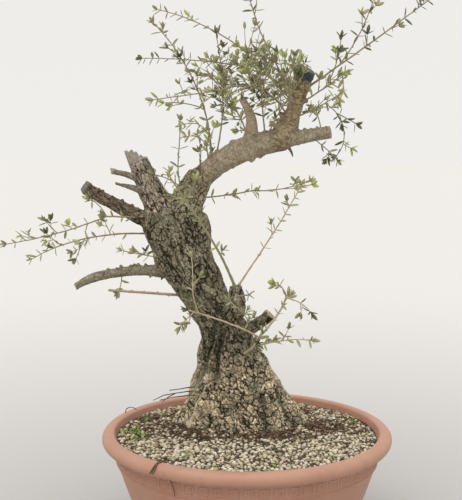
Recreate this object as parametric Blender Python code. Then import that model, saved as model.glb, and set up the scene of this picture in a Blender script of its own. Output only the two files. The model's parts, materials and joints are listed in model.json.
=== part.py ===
"""Wild olive bonsai in a round plastic bowl: Blender 4.5 script, metres, +Z up.

The origin is the middle of the bowl's flat underside. Limbs and shoots are written in millimetres and
degrees: a limb springs from a share of its parent's length, heads off at a bearing (0 is +X, 90 is +Y)
and a rise above level, and turns evenly by its swing and bow before it reaches its tip.
"""
import math
import random
from collections import namedtuple

import bmesh
import bpy
import numpy as np
from mathutils import Matrix, Vector, noise
from mathutils.bvhtree import BVHTree

MM = 0.001
GAP = 0.3 * MM              # clearance kept between pieces that touch

POT_RADIUS = 225 * MM       # over the rolled rim
POT_HEIGHT = 190 * MM
RIM_WIDTH = 20 * MM
RIM_HEIGHT = 21 * MM
LIP = 5 * MM                # round of the rim's inner edge
FOOT_RADIUS = 134 * MM
FOOT_EDGE = 2 * MM          # bevel round the flat underside
BAND_RADIUS = 203.5 * MM    # ornamental band below the rim
BAND_HEIGHT = 22 * MM
GROOVE = 3 * MM             # groove above and below the band
BODY_STEP = 1.8 * MM        # how far the body stands back from the band
BODY_CURVE = 0.68           # below 1 the body bellies out
WALL = 4.5 * MM
POT_SIDES = 36
BODY_STEPS = 3              # straight runs that make up the body's curve
RIM_FOOT = POT_HEIGHT - RIM_HEIGHT
BAND_TOP = RIM_FOOT - GROOVE
BAND_FOOT = BAND_TOP - BAND_HEIGHT

SOIL_AT_WALL = 180 * MM     # the gravel rises from the wall to the trunk's seat
SOIL_SEAT = 186 * MM
SEAT_MARGIN = 14 * MM
SOIL_RINGS = 5
SOIL_LUMPS = 2.2 * MM

TRUNK_SIDES = 44
BUTTRESS = 0.10             # depth of the four root buttresses at the soil
BUTTRESS_TOP = 300 * MM
LUMPS = 0.04                # unevenness of trunk and limbs, as a share of their radius
RIBS = 5.0                  # ribs of the trunk's bark: millimetres high, and about 37 apart
RIB_SPACING = 18.5
RIB_STRETCH = 2.2           # how many times longer than wide a rib is
LINE_FADE = 16              # millimetres over which a furrow or ridge runs out
LINE_STEPS = 24

LEAF_LENGTH = 19 * MM
LEAF_WIDTH = 7 * MM
LEAF_THICK = 1.0 * MM
LEAF_BAR = 0.3 * LEAF_WIDTH   # half the room that a leaf keeps across its length
LEAF_STEP = 80 * MM         # between one pair of leaves and the next
LEAF_SPREAD = 48            # degrees between a leaf and its twig
CLEARANCE = 0.7 * MM        # between one mass of foliage and all else
SHOOT_STEP = 40             # millimetres, the length of each straight run of a shoot
TWIG_RADIUS = 0.8 * MM
STEM_LEAFY_FROM = 0.42      # share of a mass's stem that is bare of leaves
FORK_LEAFY_FROM = 0.2       # the same for what forks from it

COLOURS = {
    "terracotta plastic": ((0.56, 0.25, 0.16), 0.55),
    "pumice gravel": ((0.42, 0.39, 0.32), 0.95),
    "old bark": ((0.19, 0.155, 0.12), 0.92),
    "smooth bark": ((0.30, 0.245, 0.185), 0.85),
    "dead wood": ((0.40, 0.33, 0.25), 0.85),
    "foliage": ((0.17, 0.22, 0.08), 0.6),
}

# The trunk's sections: height, x, y, half width and half depth, from the soil to the fork.
TRUNK = (
    (186.3, -3, 50, 109, 61),
    (204, -8, 48, 96, 58),
    (230, -13, 45, 81, 54),
    (255, -17, 42, 71, 51),
    (280, -22, 39, 59, 48),
    (305, -27, 36, 48, 45),
    (327, -29, 33, 42, 43),
    (347, -37, 30, 39, 42),
    (371, -53, 28, 38, 41),
    (395, -67, 26, 40, 41),
    (416, -80, 25, 44, 41),
    (451, -98, 24, 48, 40),
    (482, -106, 22, 51, 38),
    (506, -110, 20, 53, 35),
    (523, -113, 20, 52, 31),
    (531, -113, 20, 40, 21),
)

# Furrows and root ridges: millimetres that the line stands out, its half width, then the heights and the
# angles round the trunk that it passes.
TRUNK_LINES = (
    (-9.0, 7.0, (258, 285, 307, 330, 357, 368), (-120, -119, -116, -108, -74, -64)),
    (-5.0, 5.0, (262, 286, 306, 333, 362), (-141, -141, -137, -124, -92)),
    (8.0, 8.0, (184, 203, 222, 239, 262), (-172, -171, -161, -150, -140)),
    (8.0, 8.0, (184, 201, 218, 236, 262), (-144, -143, -140, -136, -128)),
    (-4.0, 9.0, (184, 204, 230), (-70, -66, -58)),
    (-4.0, 9.0, (184, 210, 240), (-36, -32, -30)),
    (-6.0, 9.0, (200, 260, 330, 400, 450), (62, 66, 72, 78, 84)),
    (-5.0, 9.0, (200, 250, 320, 380), (128, 124, 118, 112)),
    (7.0, 10.0, (184, 220, 262), (96, 94, 92)),
    (7.0, 10.0, (184, 220, 256), (28, 30, 34)),
)
BURL = (4.0, 18.0, 250, -88)    # height and half width of a swelling, and where it sits

# radii run evenly from root to tip; slant tilts the cut end.
Limb = namedtuple("Limb", "name parent at bearing rise length bow swing radii slant finish")
LIMBS = (
    Limb("shoulder", "trunk", 0.47, -59, 11, 85, 97, 8, (17, 19, 18, 15, 9), 0.0, "old bark"),
    Limb("west_leader", "trunk", 0.90, 175, 56, 140, 14, 24, (29, 27, 24, 20, 17, 15), -1.1, "old bark"),
    Limb("east_leader", "trunk", 0.92, 0, 76, 96, -18, -17, (27, 27, 25, 20), 0.0, "old bark"),
    Limb("main_bough", "east_leader", 0.85, -14, 48, 159, -45, 5, (20, 17, 18, 19, 18, 16), 0.0, "smooth bark"),
    Limb("bough_end", "main_bough", 0.93, -7, 10, 79, -1, 10, (15, 11, 10, 9.5), 0.15, "smooth bark"),
    Limb("top_stub", "main_bough", 0.95, -3, 65, 113, 6, -58, (21, 18, 12, 11, 12, 14.5), -0.3, "smooth bark"),
    Limb("split_peg", "main_bough", 0.62, -32, 71, 86, -19, -142, (13, 10, 7, 4.5), 0.4, "dead wood"),
    Limb("stub_peg", "top_stub", 0.42, -92, 40, 52, 15, -48, (3, 2.6, 2.4), 0.3, "dead wood"),
    Limb("hanging_peg", "main_bough", 0.93, -32, -14, 36, -61, -2, (4, 3.4, 2.8, 1.4), 0.0, "dead wood"),
    Limb("west_high_bough", "trunk", 0.92, -177, 21, 160, 11, 22, (16, 14, 11, 10, 9.5), 0.3, "old bark"),
    Limb("west_low_bough", "trunk", 0.715, -175, 15, 141, -26, 11, (15, 12, 8.5, 7.5, 7.5), 0.0, "smooth bark"),
    Limb("low_bough_tip", "west_low_bough", 0.97, -169, -7, 50, -28, 4, (7.5, 7.5, 6.5, 5), 0.4, "smooth bark"),
    Limb("west_rod", "trunk", 0.61, -157, 7, 157, 0, -3, (2.6, 2.3, 2.1), 0.0, "dead wood"),
    Limb("leader_snag", "west_leader", 0.65, -153, 37, 64, -32, -14, (8, 6, 4.5, 4), 0.5, "dead wood"),
    Limb("leader_spur", "west_leader", 0.53, -151, 24, 67, -13, 0, (8, 6, 4, 2), 0.5, "dead wood"),
    Limb("east_stub", "trunk", 0.40, -35, 18, 84, 23, 25, (12, 11, 10, 9.5), 0.2, "old bark"),
)

# A mass of foliage is a stem, which springs from a limb, and the shoots that fork from it or from each
# other. Each shoot carries its own number of side twigs, as long as its reach near the shoot's root.
Shoot = namedtuple("Shoot", "name parent at bearing rise length bow swing root tip twigs reach")
MASSES = {
    "west_arch_spray": (
        Shoot("stem", "west_high_bough", 0.37, -123, 7, 63, -6, -56, 1.8, 1.4, 0, 0),
        Shoot("outer", "stem", 0.97, -164, -21, 154, 14, 3, 1.4, 0.8, 2, 34),
        Shoot("upper", "stem", 0.97, -163, 64, 40, -37, 29, 1.1, 0.8, 0, 0)),
    "west_back_spray": (Shoot("stem", "trunk", 0.90, 180, 9, 256, -37, -27, 2.0, 0.8, 3, 40),),
    "west_short_spray": (Shoot("stem", "trunk", 0.795, -136, 8, 108, 6, -25, 1.4, 0.8, 1, 24),),
    "low_bough_sprig": (Shoot("stem", "west_low_bough", 0.79, -88, -82, 34, 50, -24, 1.1, 0.8, 0, 0),),
    "crotch_upright": (Shoot("stem", "east_leader", 0.55, -144, 50, 131, 43, 123, 1.3, 0.9, 0, 0),),
    "crotch_side_sprig": (Shoot("stem", "east_leader", 0.55, -105, 45, 89, -34, -43, 1.3, 0.9, 1, 18),),
    "front_whip": (
        Shoot("stem", "shoulder", 0.90, -115, 56, 214, 0, -70, 2.6, 1.3, 0, 0),
        Shoot("east", "stem", 0.82, -14, 41, 34, 26, -43, 1.0, 0.8, 0, 0),
        Shoot("west", "stem", 0.79, -120, 16, 32, 8, -53, 1.0, 0.8, 0, 0)),
    "east_fork_spray": (
        Shoot("stem", "trunk", 0.325, -59, -1, 111, 56, -1, 3.0, 2.6, 0, 0),
        Shoot("crossing", "stem", 0.90, -134, 30, 127, -14, -49, 1.9, 1.4, 0, 0),
        Shoot("upright", "crossing", 0.88, -166, 65, 85, 43, 111, 1.1, 0.8, 1, 18),
        Shoot("drooping", "crossing", 0.93, -152, -32, 30, -21, -2, 1.0, 0.8, 1, 14),
        Shoot("forward", "stem", 0.97, -20, 46, 74, 23, 13, 2.4, 1.6, 1, 30),
        Shoot("tip_west", "forward", 0.93, -151, 81, 33, -58, 5, 1.0, 0.8, 1, 16),
        Shoot("tip_east", "forward", 0.93, -2, -8, 45, -47, 2, 1.0, 0.8, 1, 16)),
    "east_low_spray": (Shoot("stem", "trunk", 0.305, -30, 30, 157, -26, -12, 1.6, 0.8, 2, 26),),
    "shoulder_sprig": (Shoot("stem", "east_stub", 0.35, -57, 35, 98, 4, -104, 1.2, 0.9, 1, 16),),
    "east_diagonal_whip": (
        Shoot("stem", "shoulder", 0.92, -1, 57, 196, -2, -49, 1.8, 0.9, 2, 20),
        Shoot("end", "stem", 0.97, -43, 23, 21, -10, 20, 0.9, 0.8, 0, 0)),
    "east_level_whip": (
        Shoot("stem", "east_leader", 0.58, 1, 3, 105, 7, 22, 1.4, 1.2, 1, 14),
        Shoot("end", "stem", 0.97, 24, -4, 102, 24, -2, 1.2, 0.8, 2, 18)),
    "tall_west_whip": (
        Shoot("stem", "main_bough", 0.22, -91, 73, 245, -27, -78, 1.8, 0.8, 2, 28),
        Shoot("low", "stem", 0.39, -137, 19, 69, -24, -19, 1.1, 0.8, 1, 18)),
    "middle_upright": (
        Shoot("stem", "main_bough", 0.24, 6, 77, 208, 3, 162, 1.7, 0.8, 2, 32),
        Shoot("low", "stem", 0.66, 148, 21, 59, -15, 5, 1.1, 0.8, 1, 18)),
    "bough_side_sprig": (Shoot("stem", "main_bough", 0.19, 71, 90, 133, -105, 83, 1.3, 0.8, 1, 22),),
    "bough_low_sprig": (Shoot("stem", "main_bough", 0.16, -74, 81, 100, -88, -68, 1.2, 0.8, 1, 16),),
    "bend_sprig": (Shoot("stem", "main_bough", 0.05, 34, 93, 71, -40, 93, 1.3, 0.9, 1, 14),),
    "long_west_whip": (
        Shoot("stem", "top_stub", 0.50, 130, 40, 142, 2, 23, 1.9, 1.4, 2, 44),
        Shoot("end", "stem", 0.97, 158, 36, 154, -22, 10, 1.4, 0.8, 1, 28)),
    "level_west_whip": (
        Shoot("stem", "top_stub", 0.63, 122, 30, 126, -12, 39, 1.7, 1.3, 2, 40),
        Shoot("end", "stem", 0.97, 156, 10, 167, -9, 13, 1.3, 0.8, 1, 26)),
    "front_level_spray": (
        Shoot("stem", "top_stub", 0.28, -141, 62, 141, -86, -19, 1.7, 1.3, 2, 44),
        Shoot("end", "stem", 0.97, -150, -9, 102, 1, -23, 1.3, 0.8, 1, 26)),
    "top_whip": (Shoot("stem", "top_stub", 0.60, -124, 34, 187, 45, -43, 1.8, 0.8, 2, 30),),
    "long_east_whip": (
        Shoot("stem", "top_stub", 0.68, -9, 34, 263, 3, 2, 2.0, 0.8, 3, 26),
        Shoot("fork", "stem", 0.26, 41, 41, 153, 28, 3, 1.4, 0.8, 2, 22)),
    "east_front_spray": (
        Shoot("stem", "top_stub", 0.50, -43, 21, 97, 13, 7, 1.7, 0.9, 2, 26),
        Shoot("hanging", "stem", 0.95, -70, -59, 45, 2, -68, 0.9, 0.8, 0, 0),
        Shoot("upright", "stem", 0.60, -48, 45, 78, 35, -20, 1.1, 0.8, 1, 18)),
    "east_hanging_spray": (
        Shoot("stem", "top_stub", 0.30, -3, 23, 98, 5, 50, 1.6, 0.9, 2, 24),
        Shoot("hanging", "stem", 0.60, 71, 5, 117, -142, -109, 1.1, 0.8, 1, 18),
        Shoot("east", "hanging", 0.35, 38, -18, 42, -6, -10, 0.9, 0.8, 0, 0)),
    "bough_end_hanger": (Shoot("stem", "bough_end", 0.60, -15, -38, 60, 3, -41, 1.2, 0.8, 1, 18),),
    "bough_end_sprig": (Shoot("stem", "bough_end", 0.80, 81, 43, 69, -12, 37, 1.2, 0.8, 1, 22),),
    "split_peg_sprig": (Shoot("stem", "split_peg", 0.10, -64, 55, 47, -63, -94, 1.1, 0.9, 0, 0),),
    "front_bough_spray": (Shoot("stem", "main_bough", 0.80, -100, 58, 150, -24, 6, 1.7, 0.8, 3, 42),),
    "front_centre_spray": (Shoot("stem", "top_stub", 0.36, -104, 30, 135, 12, 24, 1.6, 0.8, 3, 40),),
    "back_bough_spray": (Shoot("stem", "main_bough", 0.66, 112, 52, 165, -22, 14, 1.8, 0.8, 3, 44),),
    "back_centre_spray": (Shoot("stem", "top_stub", 0.40, 92, 30, 160, 10, -22, 1.7, 0.8, 3, 44),),
    "back_east_spray": (Shoot("stem", "main_bough", 0.80, 78, 32, 150, 10, -30, 1.6, 0.8, 3, 40),),
    "back_fork_spray": (Shoot("stem", "east_leader", 0.62, 78, 26, 128, 8, -30, 1.6, 0.8, 2, 34),),
    "back_trunk_sprig": (Shoot("stem", "trunk", 0.70, 96, 24, 100, 14, 22, 1.5, 0.8, 2, 26),),
}


def material(finish):
    """The named finish as a Principled material, made once."""
    mat = bpy.data.materials.get(finish)
    if mat is None:
        mat = bpy.data.materials.new(finish)
        mat.use_nodes = True
        shader = mat.node_tree.nodes["Principled BSDF"]
        colour, roughness = COLOURS[finish]
        shader.inputs["Base Color"].default_value = (*colour, 1.0)
        shader.inputs["Roughness"].default_value = roughness
        shader.inputs["Metallic"].default_value = 0.0
        mat.diffuse_color = (*colour, 1.0)
    return mat


def add_object(name, bm, finish, collection=None):
    """Turn a bmesh into an object with one finish."""
    mesh = bpy.data.meshes.new(name)
    bm.to_mesh(mesh)
    bm.free()
    mesh.materials.append(material(finish))
    obj = bpy.data.objects.new(name, mesh)
    (collection or bpy.context.scene.collection).objects.link(obj)
    return obj


def triangulated(bm):
    """Split every face into triangles, so that what is cut is what is built."""
    bmesh.ops.triangulate(bm, faces=bm.faces)
    return bm


def smooth(obj, angle=40):
    """Shade round pieces smooth, with edges sharper than the angle kept."""
    obj.data.shade_smooth()
    obj.data.set_sharp_from_angle(angle=math.radians(angle))


def boolean(obj, operation, others):
    """Join the object with others, or cut them from it, and keep the result in its mesh."""
    joint = bpy.data.collections.new(obj.name + "_joint")
    for other in others:
        joint.objects.link(other)
    modifier = obj.modifiers.new(operation.lower(), "BOOLEAN")
    modifier.operation = operation
    modifier.operand_type = "COLLECTION"
    modifier.collection = joint
    depsgraph = bpy.context.evaluated_depsgraph_get()
    mesh = bpy.data.meshes.new_from_object(obj.evaluated_get(depsgraph))
    mesh.name = obj.name
    obj.modifiers.remove(modifier)
    spent = obj.data
    obj.data = mesh
    bpy.data.meshes.remove(spent)
    bpy.data.collections.remove(joint)


def remove_objects(objects):
    for obj in objects:
        mesh = obj.data
        bpy.data.objects.remove(obj)
        bpy.data.meshes.remove(mesh)


def keep_largest_body(obj):
    """Drop loose scraps that a cut leaves behind."""
    bm = bmesh.new()
    bm.from_mesh(obj.data)
    bmesh.ops.triangulate(bm, faces=bm.faces)
    bodies = []
    seen = set()
    for seed in bm.verts:
        if seed in seen:
            continue
        body = [seed]
        seen.add(seed)
        for vert in body:
            for edge in vert.link_edges:
                other = edge.other_vert(vert)
                if other not in seen:
                    seen.add(other)
                    body.append(other)
        bodies.append(body)
    bodies.sort(key=len)
    for body in bodies[:-1]:
        bmesh.ops.delete(bm, geom=body, context="VERTS")
    bm.to_mesh(obj.data)
    bm.free()


def turned(profile, sides):
    """Spin an open profile of (radius, height) about Z and close its two flat ends."""
    bm = bmesh.new()
    verts = [bm.verts.new((radius, 0, height)) for radius, height in profile]
    edges = [bm.edges.new(pair) for pair in zip(verts, verts[1:])]
    bmesh.ops.spin(bm, geom=verts + edges, cent=(0, 0, 0), axis=(0, 0, 1), angle=math.tau,
                   steps=sides, use_merge=True)
    bmesh.ops.holes_fill(bm, edges=[edge for edge in bm.edges if edge.is_boundary])
    bmesh.ops.recalc_face_normals(bm, faces=bm.faces)
    return bm


def wall_radius(height):
    """Outer radius of the bowl's body at a height above its underside, and behind the band."""
    widest = BAND_RADIUS - BODY_STEP
    return FOOT_RADIUS + (widest - FOOT_RADIUS) * min(1.0, height / BAND_FOOT) ** BODY_CURVE


def inner_wall():
    """The bowl's inner face as (radius, height) points, from its floor to the foot of the rim's lip."""
    points = []
    for i in range(BODY_STEPS + 1):
        height = WALL + (BAND_FOOT - WALL) * i / BODY_STEPS
        points.append((wall_radius(height) - WALL, height))
    points.append((wall_radius(BAND_TOP) - WALL, RIM_FOOT))
    points.append((POT_RADIUS - RIM_WIDTH, POT_HEIGHT - LIP))
    return points


def arc(centre, radius, start, end, steps):
    """Points of an arc in the profile's plane, angles in degrees."""
    points = []
    for i in range(steps + 1):
        angle = math.radians(start + (end - start) * i / steps)
        points.append((centre[0] + radius * math.cos(angle), centre[1] + radius * math.sin(angle)))
    return points


def build_pot():
    profile = [(FOOT_RADIUS - FOOT_EDGE, 0)]
    for i in range(BODY_STEPS + 1):
        height = FOOT_EDGE + (BAND_FOOT - GROOVE - FOOT_EDGE) * i / BODY_STEPS
        profile.append((wall_radius(height), height))
    profile += [(wall_radius(BAND_FOOT) - GROOVE / 3, BAND_FOOT - GROOVE / 2), (BAND_RADIUS, BAND_FOOT),
                (BAND_RADIUS, BAND_TOP), (BAND_RADIUS - GROOVE / 2, BAND_TOP + GROOVE / 2)]
    bead = RIM_HEIGHT / 2
    profile += arc((POT_RADIUS - bead, RIM_FOOT + bead), bead, -90, 90, 4)
    profile += arc((POT_RADIUS - RIM_WIDTH + LIP, POT_HEIGHT - LIP), LIP, 90, 180, 2)
    profile += inner_wall()[-2::-1]
    smooth(add_object("pot", triangulated(turned(profile, POT_SIDES)), "terracotta plastic"))


def seat_point(angle, margin):
    """A point on the trunk's outline at the soil, set out by a margin."""
    _, x, y, width, depth = TRUNK[0]
    return Vector((x * MM + (width * MM + margin) * math.cos(angle),
                   y * MM + (depth * MM + margin) * math.sin(angle)))


def build_gravel():
    """The gravel fills the bowl to its wall and carries the trunk on a flat seat."""
    wall = [(radius - GAP, height) for radius, height in inner_wall()]
    (low_radius, low), (high_radius, high) = wall[-2:]
    share = (SOIL_AT_WALL - low) / (high - low)
    wall[-1] = (low_radius + (high_radius - low_radius) * share, SOIL_AT_WALL)
    wall[0] = (wall[0][0], wall[0][1] + GAP)
    angles = [math.tau * k / POT_SIDES for k in range(POT_SIDES)]
    rings = [[(radius * math.cos(angle), radius * math.sin(angle), height) for angle in angles]
             for radius, height in wall]
    edge = [Vector(point[:2]) for point in rings[-1]]
    for i in range(1, SOIL_RINGS + 1):
        share = i / SOIL_RINGS
        ring = []
        for start, angle in zip(edge, angles):
            place = start.lerp(seat_point(angle, SEAT_MARGIN), share)
            height = SOIL_AT_WALL + (SOIL_SEAT - SOIL_AT_WALL) * math.sin(share * math.pi / 2)
            if i < SOIL_RINGS:
                height += SOIL_LUMPS * noise.noise(Vector((place.x * 22, place.y * 22, 0.5)))
            ring.append((place.x, place.y, height))
        rings.append(ring)
    bm = bmesh.new()
    rings = [[bm.verts.new(point) for point in ring] for ring in rings]
    for lower, upper in zip(rings, rings[1:]):
        for k in range(POT_SIDES):
            j = (k + 1) % POT_SIDES
            bm.faces.new((lower[k], lower[j], upper[j], upper[k]))
    bm.faces.new(rings[0][::-1])
    bm.faces.new(rings[-1])
    smooth(add_object("gravel", triangulated(bm), "pumice gravel"), 30)


def heading(bearing, rise):
    b, r = math.radians(bearing), math.radians(rise)
    return Vector((math.cos(r) * math.cos(b), math.cos(r) * math.sin(b), math.sin(r)))


def centre_line(start, limb):
    """Points down the middle of a limb or shoot that turns evenly from root to tip."""
    points = [start.copy()]
    for i in range(LINE_STEPS):
        share = (i + 0.5) / LINE_STEPS
        step = heading(limb.bearing + limb.swing * share, limb.rise + limb.bow * share)
        points.append(points[-1] + step * limb.length * MM / LINE_STEPS)
    return points


def at_share(line, share):
    """The point at a share of a line's length, and the line's direction there."""
    lengths = [0.0]
    for a, b in zip(line, line[1:]):
        lengths.append(lengths[-1] + (b - a).length)
    target = share * lengths[-1]
    for i in range(1, len(line)):
        if lengths[i] >= target or i == len(line) - 1:
            part = (target - lengths[i - 1]) / (lengths[i] - lengths[i - 1])
            return line[i - 1].lerp(line[i], part), (line[i] - line[i - 1]).normalized()


def between(values, share):
    """A value at a share of an evenly spaced list."""
    place = share * (len(values) - 1)
    i = min(int(place), len(values) - 2)
    return values[i] + (values[i + 1] - values[i]) * (place - i)


def ring_frames(line, shares):
    """Centre, two cross directions and the heading at each share, with no twist between them."""
    frames = []
    side = None
    for share in shares:
        centre, along = at_share(line, share)
        if side is None:
            side = along.orthogonal().normalized()
        side = (side - along * side.dot(along)).normalized()
        frames.append((centre, side, along.cross(side), along))
    return frames


def tube(frames, radii, sides, slant=0.0, lumps=0.0):
    """A closed tapering tube; slant leans the cut end, lumps makes its skin uneven."""
    bm = bmesh.new()
    rings = []
    for i, ((centre, side, up, along), radius) in enumerate(zip(frames, radii)):
        ring = []
        for k in range(sides):
            angle = math.tau * k / sides
            out = side * math.cos(angle) + up * math.sin(angle)
            point = centre + out * radius * (1 + lumps * noise.noise(centre / (9 * MM) + out))
            if i == len(frames) - 1:
                point += along * radius * slant * out.x
            ring.append(bm.verts.new(point))
        rings.append(ring)
    for low, high in zip(rings, rings[1:]):
        for k in range(sides):
            j = (k + 1) % sides
            bm.faces.new((low[k], low[j], high[j], high[k]))
    bm.faces.new(rings[0][::-1])
    bm.faces.new(rings[-1])
    return triangulated(bm)


def trunk_relief(point, height, angle, radius):
    """How far ribs, furrows, ridges and the burl move the trunk's skin, in millimetres."""
    x, y, z = point
    spot = Vector((x / RIB_SPACING, y / RIB_SPACING, z / (RIB_SPACING * RIB_STRETCH)))
    relief = RIBS * noise.noise(spot)
    for out, width, heights, bearings in TRUNK_LINES:
        fade = min((height - heights[0]) / LINE_FADE + 1, (heights[-1] - height) / LINE_FADE + 1, 1.0)
        if fade > 0:
            bearing = math.radians(float(np.interp(height, heights, bearings)))
            gap = ((angle - bearing + math.pi) % math.tau - math.pi) * radius
            relief += out * fade * math.exp(-(gap / width) ** 2)
    out, width, at, bearing = BURL
    gap = ((angle - math.radians(bearing) + math.pi) % math.tau - math.pi) * radius
    return relief + out * math.exp(-((height - at) ** 2 + gap ** 2) / width ** 2)


def trunk_tube(swell=0.0):
    """The trunk as level sections, buttressed at the soil and swelled where it is a cutter."""
    bm = bmesh.new()
    rings = []
    for height, x, y, width, depth in TRUNK:
        z = height * MM
        lift = swell if height == TRUNK[-1][0] else 0.0
        foot = max(0.0, (BUTTRESS_TOP - z) / (BUTTRESS_TOP - SOIL_SEAT))
        ring = []
        for k in range(TRUNK_SIDES):
            angle = math.tau * k / TRUNK_SIDES
            out = Vector((math.cos(angle), math.sin(angle), 0))
            size = 1 + LUMPS * noise.noise(Vector((x, y, height)) / 30 + out * 2)
            size *= 1 - BUTTRESS * foot * (1 - math.cos(4 * angle)) / 2
            skin = Vector((x + out.x * width, y + out.y * depth, height))
            extra = trunk_relief(skin, height, angle, (width + depth) / 2) * MM + swell
            reach = Vector((out.x * (width * MM * size + extra), out.y * (depth * MM * size + extra), 0))
            ring.append(bm.verts.new(Vector((x * MM, y * MM, z + lift)) + reach))
        rings.append(ring)
    for low, high in zip(rings, rings[1:]):
        for k in range(TRUNK_SIDES):
            j = (k + 1) % TRUNK_SIDES
            bm.faces.new((low[k], low[j], high[j], high[k]))
    bm.faces.new(rings[0][::-1])
    bm.faces.new(rings[-1])
    return triangulated(bm)


def limb_tube(limb, line, swell=0.0):
    widest = max(limb.radii)
    rings = max(3, min(9, round(limb.length / widest)))
    sides = 11 if widest > 10 else 7 if widest > 4 else 5
    shares = [i / rings for i in range(rings + 1)]
    radii = [between(limb.radii, share) * MM + swell for share in shares]
    frames = ring_frames(line, shares)
    for end, outward in ((0, -1), (-1, 1)):
        centre, side, up, along = frames[end]
        frames[end] = (centre + along * outward * swell, side, up, along)
    return tube(frames, radii, sides, limb.slant, LUMPS)


def tree_of(obj):
    bm = bmesh.new()
    bm.from_mesh(obj.data)
    tree = BVHTree.FromBMesh(bm)
    bm.free()
    return tree


def cut_clear(obj, solids):
    """Cut an object back from each solid that it runs into, with the usual gap."""
    tree = tree_of(obj)
    hit = [cutter for cutter, surface in solids if surface.overlap(tree)]
    for cutter in hit:
        boolean(obj, "DIFFERENCE", [cutter])
    if hit:
        keep_largest_body(obj)


def build_limbs():
    """Trunk first, then each limb cut back from those before it. Gives their centre lines and solids."""
    lines = {"trunk": [Vector((x, y, height)) * MM for height, x, y, _, _ in TRUNK[:-1]]}
    solids = []
    trunk = add_object("trunk", trunk_tube(), "old bark")
    trunk_cutter = add_object("trunk_cutter", trunk_tube(GAP), "old bark")
    for limb in LIMBS:
        line = centre_line(at_share(lines[limb.parent], limb.at)[0], limb)
        lines[limb.name] = line
        piece = add_object(limb.name, limb_tube(limb, line), limb.finish)
        cutter = add_object(limb.name + "_cutter", limb_tube(limb, line, GAP), limb.finish)
        if limb.name == "shoulder":         # grown into the trunk, so it is one solid with it
            boolean(trunk, "UNION", [piece])
            boolean(trunk_cutter, "UNION", [cutter])
            remove_objects([piece, cutter])
            solids.append((trunk_cutter, tree_of(trunk_cutter)))
            continue
        cut_clear(piece, solids)
        smooth(piece)
        solids.append((cutter, tree_of(cutter)))
    smooth(trunk)
    return lines, solids


def segment_distances(a, b, starts, ends):
    """Shortest distance between the segment a-b and each of many others."""
    d1 = b - a
    d2 = ends - starts
    r = a - starts
    e = np.maximum((d2 * d2).sum(1), 1e-12)
    f = (d2 * r).sum(1)
    c = r @ d1
    dd = max(d1 @ d1, 1e-12)
    cross = d2 @ d1
    spread = dd * e - cross * cross
    s = np.clip(np.where(spread > 1e-14, (cross * f - c * e) / np.maximum(spread, 1e-14), 0), 0, 1)
    t = np.clip((cross * s + f) / e, 0, 1)
    s = np.clip((cross * t - c) / dd, 0, 1)
    return np.linalg.norm((a + np.outer(s, d1)) - (starts + d2 * t[:, None]), axis=1)


class Crown:
    """What stands in the crown: the limbs' surfaces, and each mass's twigs and leaves as round bars."""

    def __init__(self, surfaces):
        self.surfaces = surfaces
        self.bars = {}

    def is_clear(self, a, b, radius, skip=None):
        """Whether a bar from a to b keeps off the limbs and off the bars of every mass but one."""
        steps = max(2, int((b - a).length / (3 * MM)))
        for i in range(steps + 1):
            point = a.lerp(b, i / steps)
            for surface in self.surfaces:
                if surface.find_nearest(point, radius + CLEARANCE)[0] is not None:
                    return False
        rows = [(*p, *q, r) for name, bars in self.bars.items() if name != skip for p, q, r in bars]
        table = np.array(rows)
        distance = segment_distances(np.array(a), np.array(b), table[:, :3], table[:, 3:6])
        return bool((distance > table[:, 6] + radius + CLEARANCE).all())


def leaf_mesh(root, along, flat, size):
    """An eight-faced leaf, widest before its middle, pointed at both ends."""
    side = along.cross(flat).normalized()
    flat = side.cross(along)
    middle = root + along * size * LEAF_LENGTH * 0.48
    bm = bmesh.new()
    ends = [bm.verts.new(root - along * 0.3 * MM), bm.verts.new(root + along * size * LEAF_LENGTH)]
    rim = [bm.verts.new(middle + side * LEAF_WIDTH * size / 2), bm.verts.new(middle + flat * LEAF_THICK / 2),
           bm.verts.new(middle - side * LEAF_WIDTH * size / 2), bm.verts.new(middle - flat * LEAF_THICK / 2)]
    for k in range(4):
        bm.faces.new((rim[k], rim[(k + 1) % 4], ends[1]))
        bm.faces.new((rim[(k + 1) % 4], rim[k], ends[0]))
    bmesh.ops.recalc_face_normals(bm, faces=bm.faces)
    return bm


def across(along, turn):
    """A direction square to another, turned about it by an angle in degrees."""
    return Matrix.Rotation(math.radians(turn), 3, along) @ along.orthogonal().normalized()


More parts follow.
